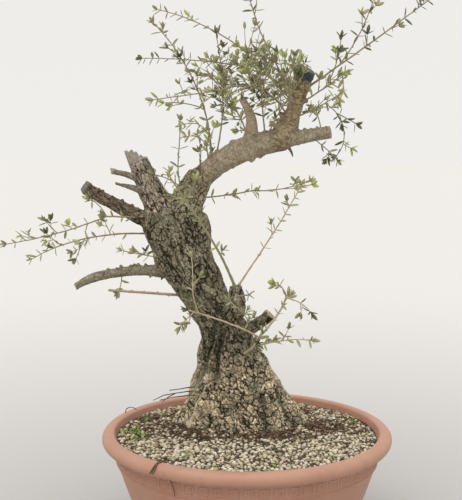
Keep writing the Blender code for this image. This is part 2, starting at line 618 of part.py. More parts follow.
class Mass:
    """One mass of foliage: shoots from one stem, side twigs that branch by a seeded rule, and leaves."""

    def __init__(self, name, shoots, limb_lines, crown):
        self.name = name
        self.crown = crown
        self.dice = random.Random(name)
        self.bars = crown.bars.setdefault(name, [])
        self.meshes = []
        self.twigs = []
        self.shoots = []
        lines = {}
        for shoot in shoots:
            parent = lines.get(shoot.parent) or limb_lines[shoot.parent]
            line = centre_line(at_share(parent, shoot.at)[0], shoot)
            leafy_from = STEM_LEAFY_FROM if shoot is shoots[0] else FORK_LEAFY_FROM
            rings = max(2, round(shoot.length / SHOOT_STEP))
            line = self.add_twig(line, shoot.root * MM, shoot.tip * MM, rings, leafy_from)
            lines[shoot.name] = line
            self.shoots.append((shoot, line))

    def add_twig(self, line, root, tip, rings, leafy_from):
        """Add a three-sided twig and give back the straight runs down its middle, where leaves root."""
        shares = [i / rings for i in range(rings + 1)]
        radii = [root + (tip - root) * share for share in shares]
        self.meshes.append(tube(ring_frames(line, shares), radii, 3))
        points = [at_share(line, share)[0] for share in shares]
        self.twigs.append((points, tip, leafy_from))
        self.bars += zip(points, points[1:], radii)
        return points

    def branch(self):
        for shoot, line in self.shoots:
            turn = self.dice.uniform(0, 360)
            for i in range(shoot.twigs):
                share = 0.3 + 0.6 * (i + self.dice.uniform(0.2, 0.8)) / shoot.twigs
                turn += 137.5
                self.add_side_twig(shoot, line, share, turn)

    def add_side_twig(self, shoot, line, share, turn):
        """A side twig slants off its shoot and lifts to the light; one that isn't clear is skipped."""
        root, along = at_share(line, share)
        slant = math.radians(self.dice.uniform(38, 60))
        way = along * math.cos(slant) + across(along, turn) * math.sin(slant)
        way = (way + Vector((0, 0, 0.4))).normalized()
        length = shoot.reach * MM * (1 - 0.4 * share) * self.dice.uniform(0.8, 1.2)
        tip = root + way * length
        if self.crown.is_clear(root + way * 4 * MM, tip, TWIG_RADIUS, self.name):
            self.add_twig([root, tip], TWIG_RADIUS, 0.75 * TWIG_RADIUS, 1, FORK_LEAFY_FROM)

    def add_leaves(self):
        """Opposite pairs, each turned across the last, and a leaf at every tip."""
        for line, radius, leafy_from in self.twigs:
            length = sum((b - a).length for a, b in zip(line, line[1:]))
            count = max(1, int(length * (1 - leafy_from) / LEAF_STEP))
            turn = self.dice.uniform(0, 180)
            for i in range(count):
                share = leafy_from + (0.92 - leafy_from) * (i + self.dice.uniform(0.3, 0.7)) / count
                root, along = at_share(line, share)
                turn += 90
                for half in (0, 180):
                    out = across(along, turn + half)
                    spread = math.radians(LEAF_SPREAD + self.dice.uniform(-10, 10))
                    way = along * math.cos(spread) + out * math.sin(spread)
                    self.add_leaf(root, way, out, (2 * radius + LEAF_BAR + CLEARANCE) / math.sin(spread))
            tip, along = at_share(line, 1.0)
            stalk = radius + LEAF_BAR + CLEARANCE + 2 * MM
            self.add_leaf(tip - along * MM, along, across(along, turn), stalk)

    def add_leaf(self, root, way, flat, stalk):
        """Add a leaf, or skip it where it would touch a limb, another twig or another leaf."""
        size = self.dice.uniform(0.85, 1.15)
        start = root + way * stalk
        end = root + way * LEAF_LENGTH * size
        if self.crown.is_clear(start, end, LEAF_BAR):
            self.meshes.append(leaf_mesh(root, way, flat, size))
            self.bars.append((start, end, LEAF_BAR))

    def fuse(self, solids):
        """Join twigs and leaves into one solid and cut the stem's root clear of its limb."""
        obj = add_object(self.name, self.meshes[0], "foliage")
        rest = [add_object(self.name + "_piece", mesh, "foliage") for mesh in self.meshes[1:]]
        if rest:
            boolean(obj, "UNION", rest)
        remove_objects(rest)
        cut_clear(obj, solids)
        keep_largest_body(obj)


def build_foliage(limb_lines, solids):
    """Every mass's shoots are laid first, then side twigs and then leaves give way to what stands."""
    crown = Crown([surface for _, surface in solids])
    masses = [Mass(name, shoots, limb_lines, crown) for name, shoots in MASSES.items()]
    for mass in masses:
        mass.branch()
    for mass in masses:
        mass.add_leaves()
    for mass in masses:
        mass.fuse(solids)


def main():
    for obj in list(bpy.data.objects):
        bpy.data.objects.remove(obj)
    build_pot()
    build_gravel()
    lines, solids = build_limbs()
    build_foliage(lines, solids)
    remove_objects([cutter for cutter, _ in solids])


main()
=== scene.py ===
# A wild olive bonsai in a plastic bowl: bark, shoots, leaves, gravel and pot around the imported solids.
import json
import math
import random
from collections import namedtuple

import bmesh
import bpy
import numpy as np
from mathutils import Matrix, Vector, noise
from mathutils.bvhtree import BVHTree

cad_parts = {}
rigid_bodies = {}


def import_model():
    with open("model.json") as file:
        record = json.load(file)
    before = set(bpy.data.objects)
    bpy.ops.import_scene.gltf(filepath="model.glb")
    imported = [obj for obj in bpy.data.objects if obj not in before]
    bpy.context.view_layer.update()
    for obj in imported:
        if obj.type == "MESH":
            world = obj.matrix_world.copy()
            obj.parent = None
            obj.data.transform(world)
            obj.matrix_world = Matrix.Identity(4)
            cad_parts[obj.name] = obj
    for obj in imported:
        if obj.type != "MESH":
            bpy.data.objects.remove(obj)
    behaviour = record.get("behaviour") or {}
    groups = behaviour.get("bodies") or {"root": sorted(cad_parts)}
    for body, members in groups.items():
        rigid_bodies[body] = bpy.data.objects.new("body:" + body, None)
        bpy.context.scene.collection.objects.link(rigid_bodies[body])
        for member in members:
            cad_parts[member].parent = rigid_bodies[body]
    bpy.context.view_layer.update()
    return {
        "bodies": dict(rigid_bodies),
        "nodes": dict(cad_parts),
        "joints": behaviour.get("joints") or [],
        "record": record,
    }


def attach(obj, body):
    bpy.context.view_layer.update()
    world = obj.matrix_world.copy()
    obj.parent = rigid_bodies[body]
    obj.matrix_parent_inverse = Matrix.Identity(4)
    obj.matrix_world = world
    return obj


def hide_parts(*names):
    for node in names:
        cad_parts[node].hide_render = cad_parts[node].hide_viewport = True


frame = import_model()
mm = 0.001
noise.seed_set(1)       # the shoots sway the same way every time

# Each limb springs from a share of its parent's length, heads off at a bearing (0 is +X, 90 is +Y) and a
# rise above level, and turns evenly by its swing and bow. Lengths and radii are in millimetres.
Limb = namedtuple("Limb", "name parent at bearing rise length bow swing radii slant bark")
limbs = (
    Limb("shoulder", "trunk", 0.47, -59, 11, 85, 97, 8, (17, 19, 18, 15, 9), 0.0, "flaked"),
    Limb("west_leader", "trunk", 0.90, 175, 56, 140, 14, 24, (29, 27, 24, 20, 17, 15), -1.1, "weathered"),
    Limb("east_leader", "trunk", 0.92, 0, 76, 96, -18, -17, (27, 27, 25, 20), 0.0, "leader"),
    Limb("main_bough", "east_leader", 0.85, -14, 48, 159, -45, 5, (20, 17, 18, 19, 18, 16), 0.0, "bough"),
    Limb("bough_end", "main_bough", 0.93, -7, 10, 79, -1, 10, (15, 11, 10, 9.5), 0.15, "bough"),
    Limb("top_stub", "main_bough", 0.95, -3, 65, 113, 6, -58, (21, 18, 12, 11, 12, 14.5), -0.3, "stub"),
    Limb("split_peg", "main_bough", 0.62, -32, 71, 86, -19, -142, (13, 10, 7, 4.5), 0.4, "bare"),
    Limb("stub_peg", "top_stub", 0.42, -92, 40, 52, 15, -48, (3, 2.6, 2.4), 0.3, "bare"),
    Limb("hanging_peg", "main_bough", 0.93, -32, -14, 36, -61, -2, (4, 3.4, 2.8, 1.4), 0.0, "brown"),
    Limb("west_high_bough", "trunk", 0.92, -177, 21, 160, 11, 22, (16, 14, 11, 10, 9.5), 0.3, "brown"),
    Limb("west_low_bough", "trunk", 0.715, -175, 15, 141, -26, 11, (15, 12, 8.5, 7.5, 7.5), 0.0, "grey"),
    Limb("low_bough_tip", "west_low_bough", 0.97, -169, -7, 50, -28, 4, (7.5, 7.5, 6.5, 5), 0.4, "grey"),
    Limb("west_rod", "trunk", 0.61, -157, 7, 157, 0, -3, (2.6, 2.3, 2.1), 0.0, "bare"),
    Limb("leader_snag", "west_leader", 0.65, -153, 37, 64, -32, -14, (8, 6, 4.5, 4), 0.5, "bare"),
    Limb("leader_spur", "west_leader", 0.53, -151, 24, 67, -13, 0, (8, 6, 4, 2), 0.5, "grey"),
    Limb("east_stub", "trunk", 0.40, -35, 18, 84, 23, 25, (12, 11, 10, 9.5), 0.2, "flaked"),
)

trunkSections = (    # height, x, y, half width and half depth in millimetres, from the gravel to the fork
    (176.0, -2, 50, 112, 62), (186.3, -3, 50, 109, 61), (204, -8, 48, 96, 58), (230, -13, 45, 81, 54),
    (255, -17, 42, 71, 51), (280, -22, 39, 59, 48), (305, -27, 36, 48, 45), (327, -29, 33, 42, 43),
    (347, -37, 30, 39, 42), (371, -53, 28, 38, 41), (395, -67, 26, 40, 41), (416, -80, 25, 44, 41),
    (451, -98, 24, 48, 40), (482, -106, 22, 51, 38), (506, -110, 20, 53, 35), (523, -113, 20, 52, 31),
    (531, -113, 20, 40, 21),
)
trunkShape = {
    "sides": 180, "ringStep": 3.0, "lumps": 0.04, "buttress": 0.10, "buttressTop": 300, "soil": 186.3,
}
woodGrid = {
    "voxel": 1.2 * mm, "smoothing": 3, "softness": 0.5, "limbSides": 28, "limbStep": 3.0,
    "lumps": {"bough": 0.07, "stub": 0.10, "brown": 0.13, "grey": 0.10, "weathered": 0.09},
}


def addNode(tree, kind, values=None, **settings):
    # a node with its settings; an input is either set or linked from another node's socket
    made = tree.nodes.new(kind)
    for key, value in settings.items():
        setattr(made, key, value)
    for key, value in (values or {}).items():
        if isinstance(value, bpy.types.NodeSocket):
            tree.links.new(value, made.inputs[key])
        else:
            made.inputs[key].default_value = value
    return made


def mathNode(tree, operation, first, second=0.0):
    return addNode(tree, "ShaderNodeMath", {0: first, 1: second}, operation=operation).outputs[0]


def product(tree, first, second):
    return mathNode(tree, "MULTIPLY", first, second)


def vectorNode(tree, operation, first, second):
    # the second input is a number for SCALE and a vector for everything else
    other = "Scale" if operation == "SCALE" else 1
    return addNode(tree, "ShaderNodeVectorMath", {0: first, other: second}, operation=operation).outputs[0]


def ramp(tree, value, low, high, first=0.0, last=1.0, **settings):
    # where a value lies between low and high, told as a number from first to last
    return addNode(tree, "ShaderNodeMapRange", {"Value": value, 1: low, 2: high, 3: first, 4: last},
                   **settings).outputs[0]


def softRamp(tree, *limits):
    return ramp(tree, *limits, interpolation_type="SMOOTHSTEP")


def noiseOf(tree, place, scale, detail, out=0, **more):
    return addNode(tree, "ShaderNodeTexNoise", {"Vector": place, "Scale": scale, "Detail": detail,
                                                **more}).outputs[out]


def upright(tree, height):
    return addNode(tree, "ShaderNodeCombineXYZ", {"Z": height}).outputs[0]


def storedValue(tree, name, kind="FLOAT"):
    return addNode(tree, "GeometryNodeInputNamedAttribute", {"Name": name}, data_type=kind).outputs[0]


def randomOf(tree, kind, low, high, seed):
    first, out = {"FLOAT_VECTOR": (0, 0), "FLOAT": (2, 1), "INT": (4, 2)}[kind]
    return addNode(tree, "FunctionNodeRandomValue", {first: low, first + 1: high, "Seed": seed},
                   data_type=kind).outputs[out]


def move(tree, geometry, offset):
    return addNode(tree, "GeometryNodeSetPosition", {"Geometry": geometry, "Offset": offset}).outputs[0]


def placeShapes(tree, points, collection, values):
    # one of a collection's shapes on every point
    shapes = addNode(tree, "GeometryNodeCollectionInfo",
                     {"Collection": collection, "Separate Children": True, "Reset Children": True})
    return addNode(tree, "GeometryNodeInstanceOnPoints", {
        "Points": points, "Instance": shapes.outputs[0], "Pick Instance": True, **values}).outputs[0]


def newTree(name, sizes):
    # an empty Geometry Nodes tree: geometry in and out, and one named input for each size
    tree = bpy.data.node_groups.new(name, "GeometryNodeTree")
    tree.interface.new_socket("Geometry", in_out="INPUT", socket_type="NodeSocketGeometry")
    for label, kind in sizes.items():
        tree.interface.new_socket(label, in_out="INPUT", socket_type="NodeSocket" + kind)
    tree.interface.new_socket("Material", in_out="INPUT", socket_type="NodeSocketMaterial")
    tree.interface.new_socket("Geometry", in_out="OUTPUT", socket_type="NodeSocketGeometry")
    return tree, addNode(tree, "NodeGroupInput").outputs


def closeTree(tree, geometry, inputs):
    # every tree ends by realizing its instances and setting its material
    real = addNode(tree, "GeometryNodeRealizeInstances", {"Geometry": geometry})
    skin = addNode(tree, "GeometryNodeSetMaterial",
                   {"Geometry": real.outputs[0], "Material": inputs["Material"]})
    addNode(tree, "NodeGroupOutput", {0: skin.outputs[0]})
    return tree


def runTree(mesh, tree, settings):
    # the plain mesh that a tree makes of another, with the tree's named inputs set by identifier
    carrier = bpy.data.objects.new(tree.name, mesh)
    bpy.context.scene.collection.objects.link(carrier)
    modifier = carrier.modifiers.new(tree.name, "NODES")
    modifier.node_group = tree
    for item in tree.interface.items_tree:
        if item.in_out == "INPUT" and item.name in settings:
            modifier[item.identifier] = settings[item.name]
    shown = carrier.evaluated_get(bpy.context.evaluated_depsgraph_get())
    result = bpy.data.meshes.new_from_object(shown)
    bpy.data.objects.remove(carrier)
    return result


def addPiece(name, mesh, material, slot, *nodes):
    # a finished piece at the origin, riding on the part's one body and standing for its solids
    mesh.name = name
    mesh.materials.clear()
    mesh.materials.append(material)
    piece = bpy.data.objects.new(name, mesh)
    bpy.context.scene.collection.objects.link(piece)
    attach(piece, "root")
    if nodes:
        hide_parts(*nodes)


def toMesh(bm, name):
    mesh = bpy.data.meshes.new(name)
    bm.to_mesh(mesh)
    bm.free()
    return mesh


def setAttribute(mesh, name, kind, values):
    # one number, vector, colour or turn for every point
    field = {"FLOAT_VECTOR": "vector", "FLOAT_COLOR": "color"}.get(kind, "value")
    made = mesh.attributes.new(name, kind, "POINT")
    flat = np.ascontiguousarray(values, np.int32 if kind == "INT" else np.float32).ravel()
    made.data.foreach_set(field, flat)


def heading(bearing, rise):
    b, r = math.radians(bearing), math.radians(rise)
    return Vector((math.cos(r) * math.cos(b), math.cos(r) * math.sin(b), math.sin(r)))


def centreLine(start, limb, steps=24):
    # points down the middle of a limb or shoot that turns evenly from root to tip
    points = [start.copy()]
    for i in range(steps):
        share = (i + 0.5) / steps
        step = heading(limb.bearing + limb.swing * share, limb.rise + limb.bow * share)
        points.append(points[-1] + step * limb.length * mm / steps)
    return points


def atShare(line, share):
    # the point at a share of a line's length, and the line's direction there
    lengths = [0.0]
    for a, b in zip(line, line[1:]):
        lengths.append(lengths[-1] + (b - a).length)
    target = share * lengths[-1]
    for i in range(1, len(line)):
        if lengths[i] >= target or i == len(line) - 1:
            part = (target - lengths[i - 1]) / (lengths[i] - lengths[i - 1])
            return line[i - 1].lerp(line[i], part), (line[i] - line[i - 1]).normalized()


def between(values, share):
    place = share * (len(values) - 1)
    i = min(int(place), len(values) - 2)
    return values[i] + (values[i + 1] - values[i]) * (place - i)


def ringFrames(line, shares):
    # centre, two cross directions and heading at each share, with no twist between them
    frames = []
    side = None
    for share in shares:
        centre, along = atShare(line, share)
        if side is None:
            side = along.orthogonal().normalized()
        side = (side - along * side.dot(along)).normalized()
        frames.append((centre, side, along.cross(side), along))
    return frames


def turns(sides):
    return [math.tau * k / sides for k in range(sides)]


def closeRings(bm, loops):
    # skin a stack of rings of points and cap both ends
    rings = [[bm.verts.new(point) for point in loop] for loop in loops]
    for low, high in zip(rings, rings[1:]):
        for k in range(len(low)):
            j = (k + 1) % len(low)
            bm.faces.new((low[k], low[j], high[j], high[k]))
    bm.faces.new(rings[0][::-1])
    bm.faces.new(rings[-1])


def limbLines():
    lines = {"trunk": [Vector((x, y, height)) * mm for height, x, y, _, _ in trunkSections[1:-1]]}
    for limb in limbs:
        lines[limb.name] = centreLine(atShare(lines[limb.parent], limb.at)[0], limb)
    return lines


def lumpyRing(frame, radius, sides, lumps, size, turn=1.0):
    # each point round a limb's middle line, uneven by noise of a given size, with its way out
    centre, side, up, _ = frame
    for angle in turns(sides):
        out = side * math.cos(angle) + up * math.sin(angle)
        yield centre + out * radius * (1 + lumps * noise.noise(centre / (size * mm) + out * turn)), out


def addLimb(bm, limb, line):
    # a tube with uneven rings, its last one slanted where the limb was cut or broke
    rings = max(4, round(limb.length / woodGrid["limbStep"]))
    lumps = woodGrid["lumps"].get(limb.bark, 0.04)
    shares = [i / rings for i in range(rings + 1)]
    loops = []
    for share, frame in zip(shares, ringFrames(line, shares)):
        radius = between(limb.radii, share) * mm
        slant = limb.slant if share == 1.0 else 0.0
        loops.append([point + frame[3] * radius * slant * out.x
                      for point, out in lumpyRing(frame, radius, woodGrid["limbSides"], lumps, 9)])
    closeRings(bm, loops)


def trunkSection(height):
    table = np.array(trunkSections, float)
    return [float(np.interp(height, table[:, 0], table[:, i])) for i in range(1, 5)]


# furrows and root ridges: how far each stands out, its half width, and the heights and bearings it passes
trunkLines = (
    (-9.0, 7.0, (258, 285, 307, 330, 357, 368), (-120, -119, -116, -108, -74, -64)),
    (-5.0, 5.0, (262, 286, 306, 333, 362), (-141, -141, -137, -124, -92)),
    (8.0, 8.0, (184, 203, 222, 239, 262), (-172, -171, -161, -150, -140)),
    (8.0, 8.0, (184, 201, 218, 236, 262), (-144, -143, -140, -136, -128)),
    (-4.0, 9.0, (184, 204, 230), (-70, -66, -58)),
    (-4.0, 9.0, (184, 210, 240), (-36, -32, -30)),
    (-6.0, 9.0, (200, 260, 330, 400, 450), (62, 66, 72, 78, 84)),
    (-5.0, 9.0, (200, 250, 320, 380), (128, 124, 118, 112)),
    (7.0, 10.0, (184, 220, 262), (96, 94, 92)),
    (7.0, 10.0, (184, 220, 256), (28, 30, 34)),
)
# cracks too fine for the solid: the same, but only in the bark
barkLines = (
    (-4.5, 1.7, (252, 267, 287, 314, 338, 357, 368), (-136, -121, -117, -110, -97, -67, -62)),
    (-3.5, 1.5, (261, 284, 298, 319, 335), (-159, -145, -139, -130, -121)),
    (-2.5, 1.2, (271, 288, 301, 324), (-110, -115, -112, -108)),
    (-2.0, 1.1, (255, 278, 301, 321), (-75, -77, -74, -67)),
    (-2.5, 1.3, (238, 260, 278), (-71, -58, -39)),
    (-2.5, 1.3, (235, 249, 262), (-107, -99, -92)),
    (-2.5, 1.3, (223, 249, 267), (-35, -29, -1)),
    (-3.0, 1.6, (404, 423, 442, 458, 468), (-81, -77, -67, -75, -88)),
    (-3.0, 1.6, (468, 484, 506, 527), (-88, -83, -86, -90)),
    (-3.0, 1.5, (445, 465, 487, 506), (-96, -100, -104, -111)),
    (-3.0, 1.6, (449, 473, 490, 512), (-31, -46, -58, -60)),
    (-3.5, 1.8, (357, 381, 397), (-70, -77, -77)),
    (-4.0, 2.2, (204, 209, 230, 252), (-151, -150, -143, -134)),
    (-3.0, 2.4, (230, 300, 380, 460), (20, 26, 34, 40)),
    (-3.0, 2.4, (240, 310, 400, 480), (150, 146, 142, 138)),
    (-3.0, 2.4, (220, 300, 360), (100, 98, 94)),
)
trunkRelief = {
    "ribs": 5.0, "spacing": 18.5, "stretch": 2.2, "fade": 16, "burl": (4.0, 18.0, 250, -88),
}


def wrapped(angle):
    return (angle + math.pi) % math.tau - math.pi


def trunkSwell(point, height, angle, radius):
    # how far ribs, furrows, ridges and the burl move the trunk's skin, in millimetres
    spacing = trunkRelief["spacing"]
    swell = trunkRelief["ribs"] * noise.noise(Vector((point[0] / spacing, point[1] / spacing,
                                                      point[2] / (spacing * trunkRelief["stretch"]))))
    fade = trunkRelief["fade"]
    for out, width, heights, bearings in trunkLines + barkLines:
        strong = min((height - heights[0]) / fade + 1, (heights[-1] - height) / fade + 1, 1.0)
        if strong > 0:
            gap = wrapped(angle - math.radians(float(np.interp(height, heights, bearings)))) * radius
            swell += out * strong * math.exp(-(gap / width) ** 2)
    out, width, at, bearing = trunkRelief["burl"]
    gap = wrapped(angle - math.radians(bearing)) * radius
    return swell + out * math.exp(-((height - at) ** 2 + gap ** 2) / width ** 2)


def lineField(points, angle, radius, lines, sign):
    # how near each point of the trunk lies to its furrows (sign -1) or its ridges (sign 1), from 0 to 1
    height = points[:, 2] / mm
    field = np.zeros(len(points))
    fade = trunkRelief["fade"]
    for out, width, heights, bearings in lines:
        if out * sign > 0:
            near = np.minimum((height - heights[0]) / fade + 1, (heights[-1] - height) / fade + 1)
            gap = wrapped(angle - np.radians(np.interp(height, heights, bearings))) * radius / mm
            strong = min(1.0, abs(out) / 5 + 0.2) * np.clip(near, 0, 1)
            field = np.maximum(field, strong * np.exp(-(gap / (width * 0.9)) ** 2))
    return field


def addTrunk(bm):
    lowest, highest = trunkSections[0][0], trunkSections[-1][0]
    steps = round((highest - lowest) / trunkShape["ringStep"])
    top, soilTop, sides = (trunkShape[key] for key in ("buttressTop", "soil", "sides"))
    rings = []
    for i in range(steps + 1):
        height = lowest + (highest - lowest) * i / steps
        x, y, width, depth = trunkSection(height)
        foot = max(0.0, (top - height) / (top - soilTop))
        ring = []
        for angle in turns(sides):
            out = Vector((math.cos(angle), math.sin(angle), 0))
            size = 1 + trunkShape["lumps"] * noise.noise(Vector((x, y, height)) / 30 + out * 2)
            size *= 1 - trunkShape["buttress"] * foot * (1 - math.cos(4 * angle)) / 2
            skin = (x + out.x * width, y + out.y * depth, height)
            swell = trunkSwell(skin, height, angle, (width + depth) / 2)
            place = Vector((x + out.x * (width * size + swell), y + out.y * (depth * size + swell), height))
            ring.append(place * mm)
        rings.append(ring)
    closeRings(bm, rings)


tornEnds = (    # limb, splinters, how far they stand out in millimetres, and their radius
    ("west_leader", 38, (1.5, 8.5), 3.0), ("west_high_bough", 22, (0.5, 4.0), 3.4),
    ("leader_snag", 9, (0.5, 4.0), 1.8), ("leader_spur", 6, (0.5, 3.0), 1.2),
    ("low_bough_tip", 8, (0.3, 2.0), 1.8), ("east_stub", 14, (0.3, 2.4), 3.0),
)
splinter = {"rooted": 6 * mm, "inset": 0.94, "taper": (1, 0.75, 0.25)}
knobs = (       # limb, how many, their height and radius in millimetres, and where along the limb they lie
    ("west_low_bough", 13, (2.6, 5.2), 3.2, (0.15, 1.0)),
    ("west_high_bough", 12, (2.0, 4.8), 4.0, (0.2, 0.97)),
    ("main_bough", 12, (1.6, 4.4), 6.5, (0.25, 0.97)), ("top_stub", 16, (2.0, 5.6), 4.6, (0.06, 0.80)),
    ("bough_end", 6, (1.0, 3.0), 3.2, (0.2, 0.95)), ("west_leader", 10, (1.5, 4.0), 5.0, (0.3, 0.9)),
    ("west_rod", 6, (0.8, 1.8), 1.5, (0.2, 0.98)),
)
knobTaper = (1.3, 1.05, 0.75)


def addSpike(bm, base, way, reach, radius, taper):
    loops = []
    for (centre, side, up, _), share in zip(ringFrames([base, base + way * reach], (0, 0.6, 1)), taper):
        loops.append([centre + (side * math.cos(a) + up * math.sin(a)) * radius * share for a in turns(6)])
    closeRings(bm, loops)


def addSplinters(bm, lines):
    # jagged splinters out of the broken ends, and knobs where twigs once grew
    dice = random.Random(5)
    named = {limb.name: limb for limb in limbs}
    for name, count, length, thick in tornEnds:
        limb = named[name]
        end, along = atShare(lines[name], 1.0)
        side = ringFrames(lines[name], (1.0,))[0][1]
        for _ in range(count):
            spot = math.sqrt(dice.uniform(0.15, 1.0)) * limb.radii[-1] * mm
            out = Matrix.Rotation(dice.uniform(0, math.tau), 3, along) @ side
            base = end + out * spot * splinter["inset"] - along * splinter["rooted"]
            lean = (along + out * 0.06 + Vector((0, 0, 0.12))).normalized()
            face = limb.slant * (out.x if name == "west_leader" else 0) * spot
            reach = dice.uniform(*length) * mm + face + splinter["rooted"]
            addSpike(bm, base, lean, reach, dice.uniform(0.6, 1.1) * thick * mm, splinter["taper"])
    for name, count, height, thick, (low, high) in knobs:
        for i in range(count):
            share = low + (high - low) * (i + dice.random()) / count
            centre, along = atShare(lines[name], share)
            out = Vector((dice.uniform(-0.5, 0.5), dice.uniform(-0.9, 0.5), dice.choice((1, 1, 1, -1))))
            out = (out - along * out.dot(along)).normalized()
            inside = between(named[name].radii, share) * mm * 0.5
            reach = inside + dice.uniform(*height) * mm
            addSpike(bm, centre + out * inside, (out + along * 0.3).normalized(), reach,
                     dice.uniform(0.75, 1.1) * thick * mm, knobTaper)


def weldWood(lines):
    # all wood as one skin: overlapping tubes are remeshed on a fine grid and softened where they meet
    bm = bmesh.new()
    addTrunk(bm)
    for limb in limbs:
        addLimb(bm, limb, lines[limb.name])
    addSplinters(bm, lines)
    wood = bpy.data.objects.new("wood", toMesh(bm, "wood"))
    bpy.context.scene.collection.objects.link(wood)
    remesh = wood.modifiers.new("grid", "REMESH")
    remesh.mode = "VOXEL"
    remesh.voxel_size = woodGrid["voxel"]
    soften = wood.modifiers.new("soften", "SMOOTH")
    soften.factor = woodGrid["softness"]
    soften.iterations = woodGrid["smoothing"]
    mesh = bpy.data.meshes.new_from_object(wood.evaluated_get(bpy.context.evaluated_depsgraph_get()))
    bpy.data.objects.remove(wood)
    return mesh


# plate size, how many times longer than wide a plate is, relief in millimetres, and the plates' colour,
# by kind of bark or for one limb
barkLooks = {
    "foot": (9.6, 1.20, 2.2, (0.535, 0.460, 0.330)),
    "flaked": (8.5, 1.6, 1.9, (0.232, 0.212, 0.155)),
    "weathered": (6.0, 3.0, 1.1, (0.375, 0.325, 0.262)),
    "leader": (8.0, 1.5, 0.9, (0.300, 0.262, 0.180)),
    "bough": (12.0, 0.45, 0.42, (0.370, 0.315, 0.225)),
    "stub": (9.0, 0.60, 0.60, (0.345, 0.270, 0.170)),
    "brown": (7.0, 2.4, 0.8, (0.190, 0.150, 0.110)),
    "grey": (6.0, 1.1, 0.5, (0.290, 0.265, 0.190)),
    "bare": (4.0, 9.0, 0.3, (0.440, 0.370, 0.265)),
    "leader_snag": (5.0, 3.0, 0.5, (0.300, 0.250, 0.205)),
    "leader_spur": (5.0, 3.0, 0.5, (0.330, 0.295, 0.240)),
}
# limbs that end in bare wood: the colour of the cut, and how far down the limb it reaches in millimetres
woodEnds = {
    "bough_end": ((0.36, 0.235, 0.14), 1.2), "east_stub": ((0.50, 0.40, 0.27), 1.2),
    "low_bough_tip": ((0.34, 0.31, 0.25), 1.5), "west_high_bough": ((0.20, 0.18, 0.15), 2.5),
    "west_leader": ((0.33, 0.305, 0.26), 9.0), "leader_snag": ((0.36, 0.32, 0.26), 3.0),
}
barkBlend = {   # heights in millimetres between which the foot's plates and colour give way to the trunk's
    "plates": (290, 380), "colour": (258, 320), "seam": 3 * mm, "inside": -4 * mm, "outside": 50 * mm,
    "reach": 40 * mm, "smoothRidge": 0.75, "furrowShade": 0.72, "paleRidge": 0.25, "smoothCut": 0.8,
    "shift": 7.3,
}


def seamWeight(gap):
    # how much a trunk or limb marks a point at some distance from its surface
    return np.exp(-np.clip(gap, barkBlend["inside"], barkBlend["outside"]) / barkBlend["seam"])


def trunkBark(points):
    # distance from the trunk, then the bark's grain, relief and colour there, the colour darkened in the
    # furrows as painted shade
    table = np.array(trunkSections, float) * mm
    high = points[:, 2]
    x, y, width, depth = (np.interp(high, table[:, 0], table[:, i]) for i in range(1, 5))
    away = np.hypot((points[:, 0] - x) / width, (points[:, 1] - y) / depth)
    gap = np.maximum((away - 1) * np.minimum(width, depth), np.maximum(0, high - table[-1, 0]))
    foot, top = barkLooks["foot"], barkLooks["flaked"]
    climb, tone = (np.clip((high / mm - low) / (end - low), 0, 1)
                   for low, end in (barkBlend["plates"], barkBlend["colour"]))
    plate = (foot[0] + (top[0] - foot[0]) * climb) * mm
    heights = np.linspace(0.15, 0.6, 451)
    rate = np.interp(heights / mm, barkBlend["plates"], (foot[0] * foot[1], top[0] * top[1])) * mm
    rise = np.concatenate([[0], np.cumsum((1 / rate[1:] + 1 / rate[:-1]) / 2 * np.diff(heights))])
    offX, offY = points[:, 0] - x, points[:, 1] - y
    grain = np.stack([offX / plate, offY / plate, np.interp(high, heights, rise)], 1)
    angle = np.arctan2(offY / depth, offX / width)
    radius = (width + depth) / 2
    furrow = lineField(points, angle, radius, trunkLines + barkLines, -1)
    ridge = lineField(points, angle, radius, trunkLines[:4], 1)
    relief = (foot[2] + (top[2] - foot[2]) * climb) * (1 - barkBlend["smoothRidge"] * ridge)
    tint = np.array(foot[3]) + (np.array(top[3]) - foot[3]) * tone[:, None]
    # painted shade: the colour is darkened along the furrows and fine cracks, and made paler along the root
    # ridges
    tint *= ((1 - barkBlend["furrowShade"] * furrow) * (1 + barkBlend["paleRidge"] * ridge))[:, None]
    return gap, grain, relief, tint


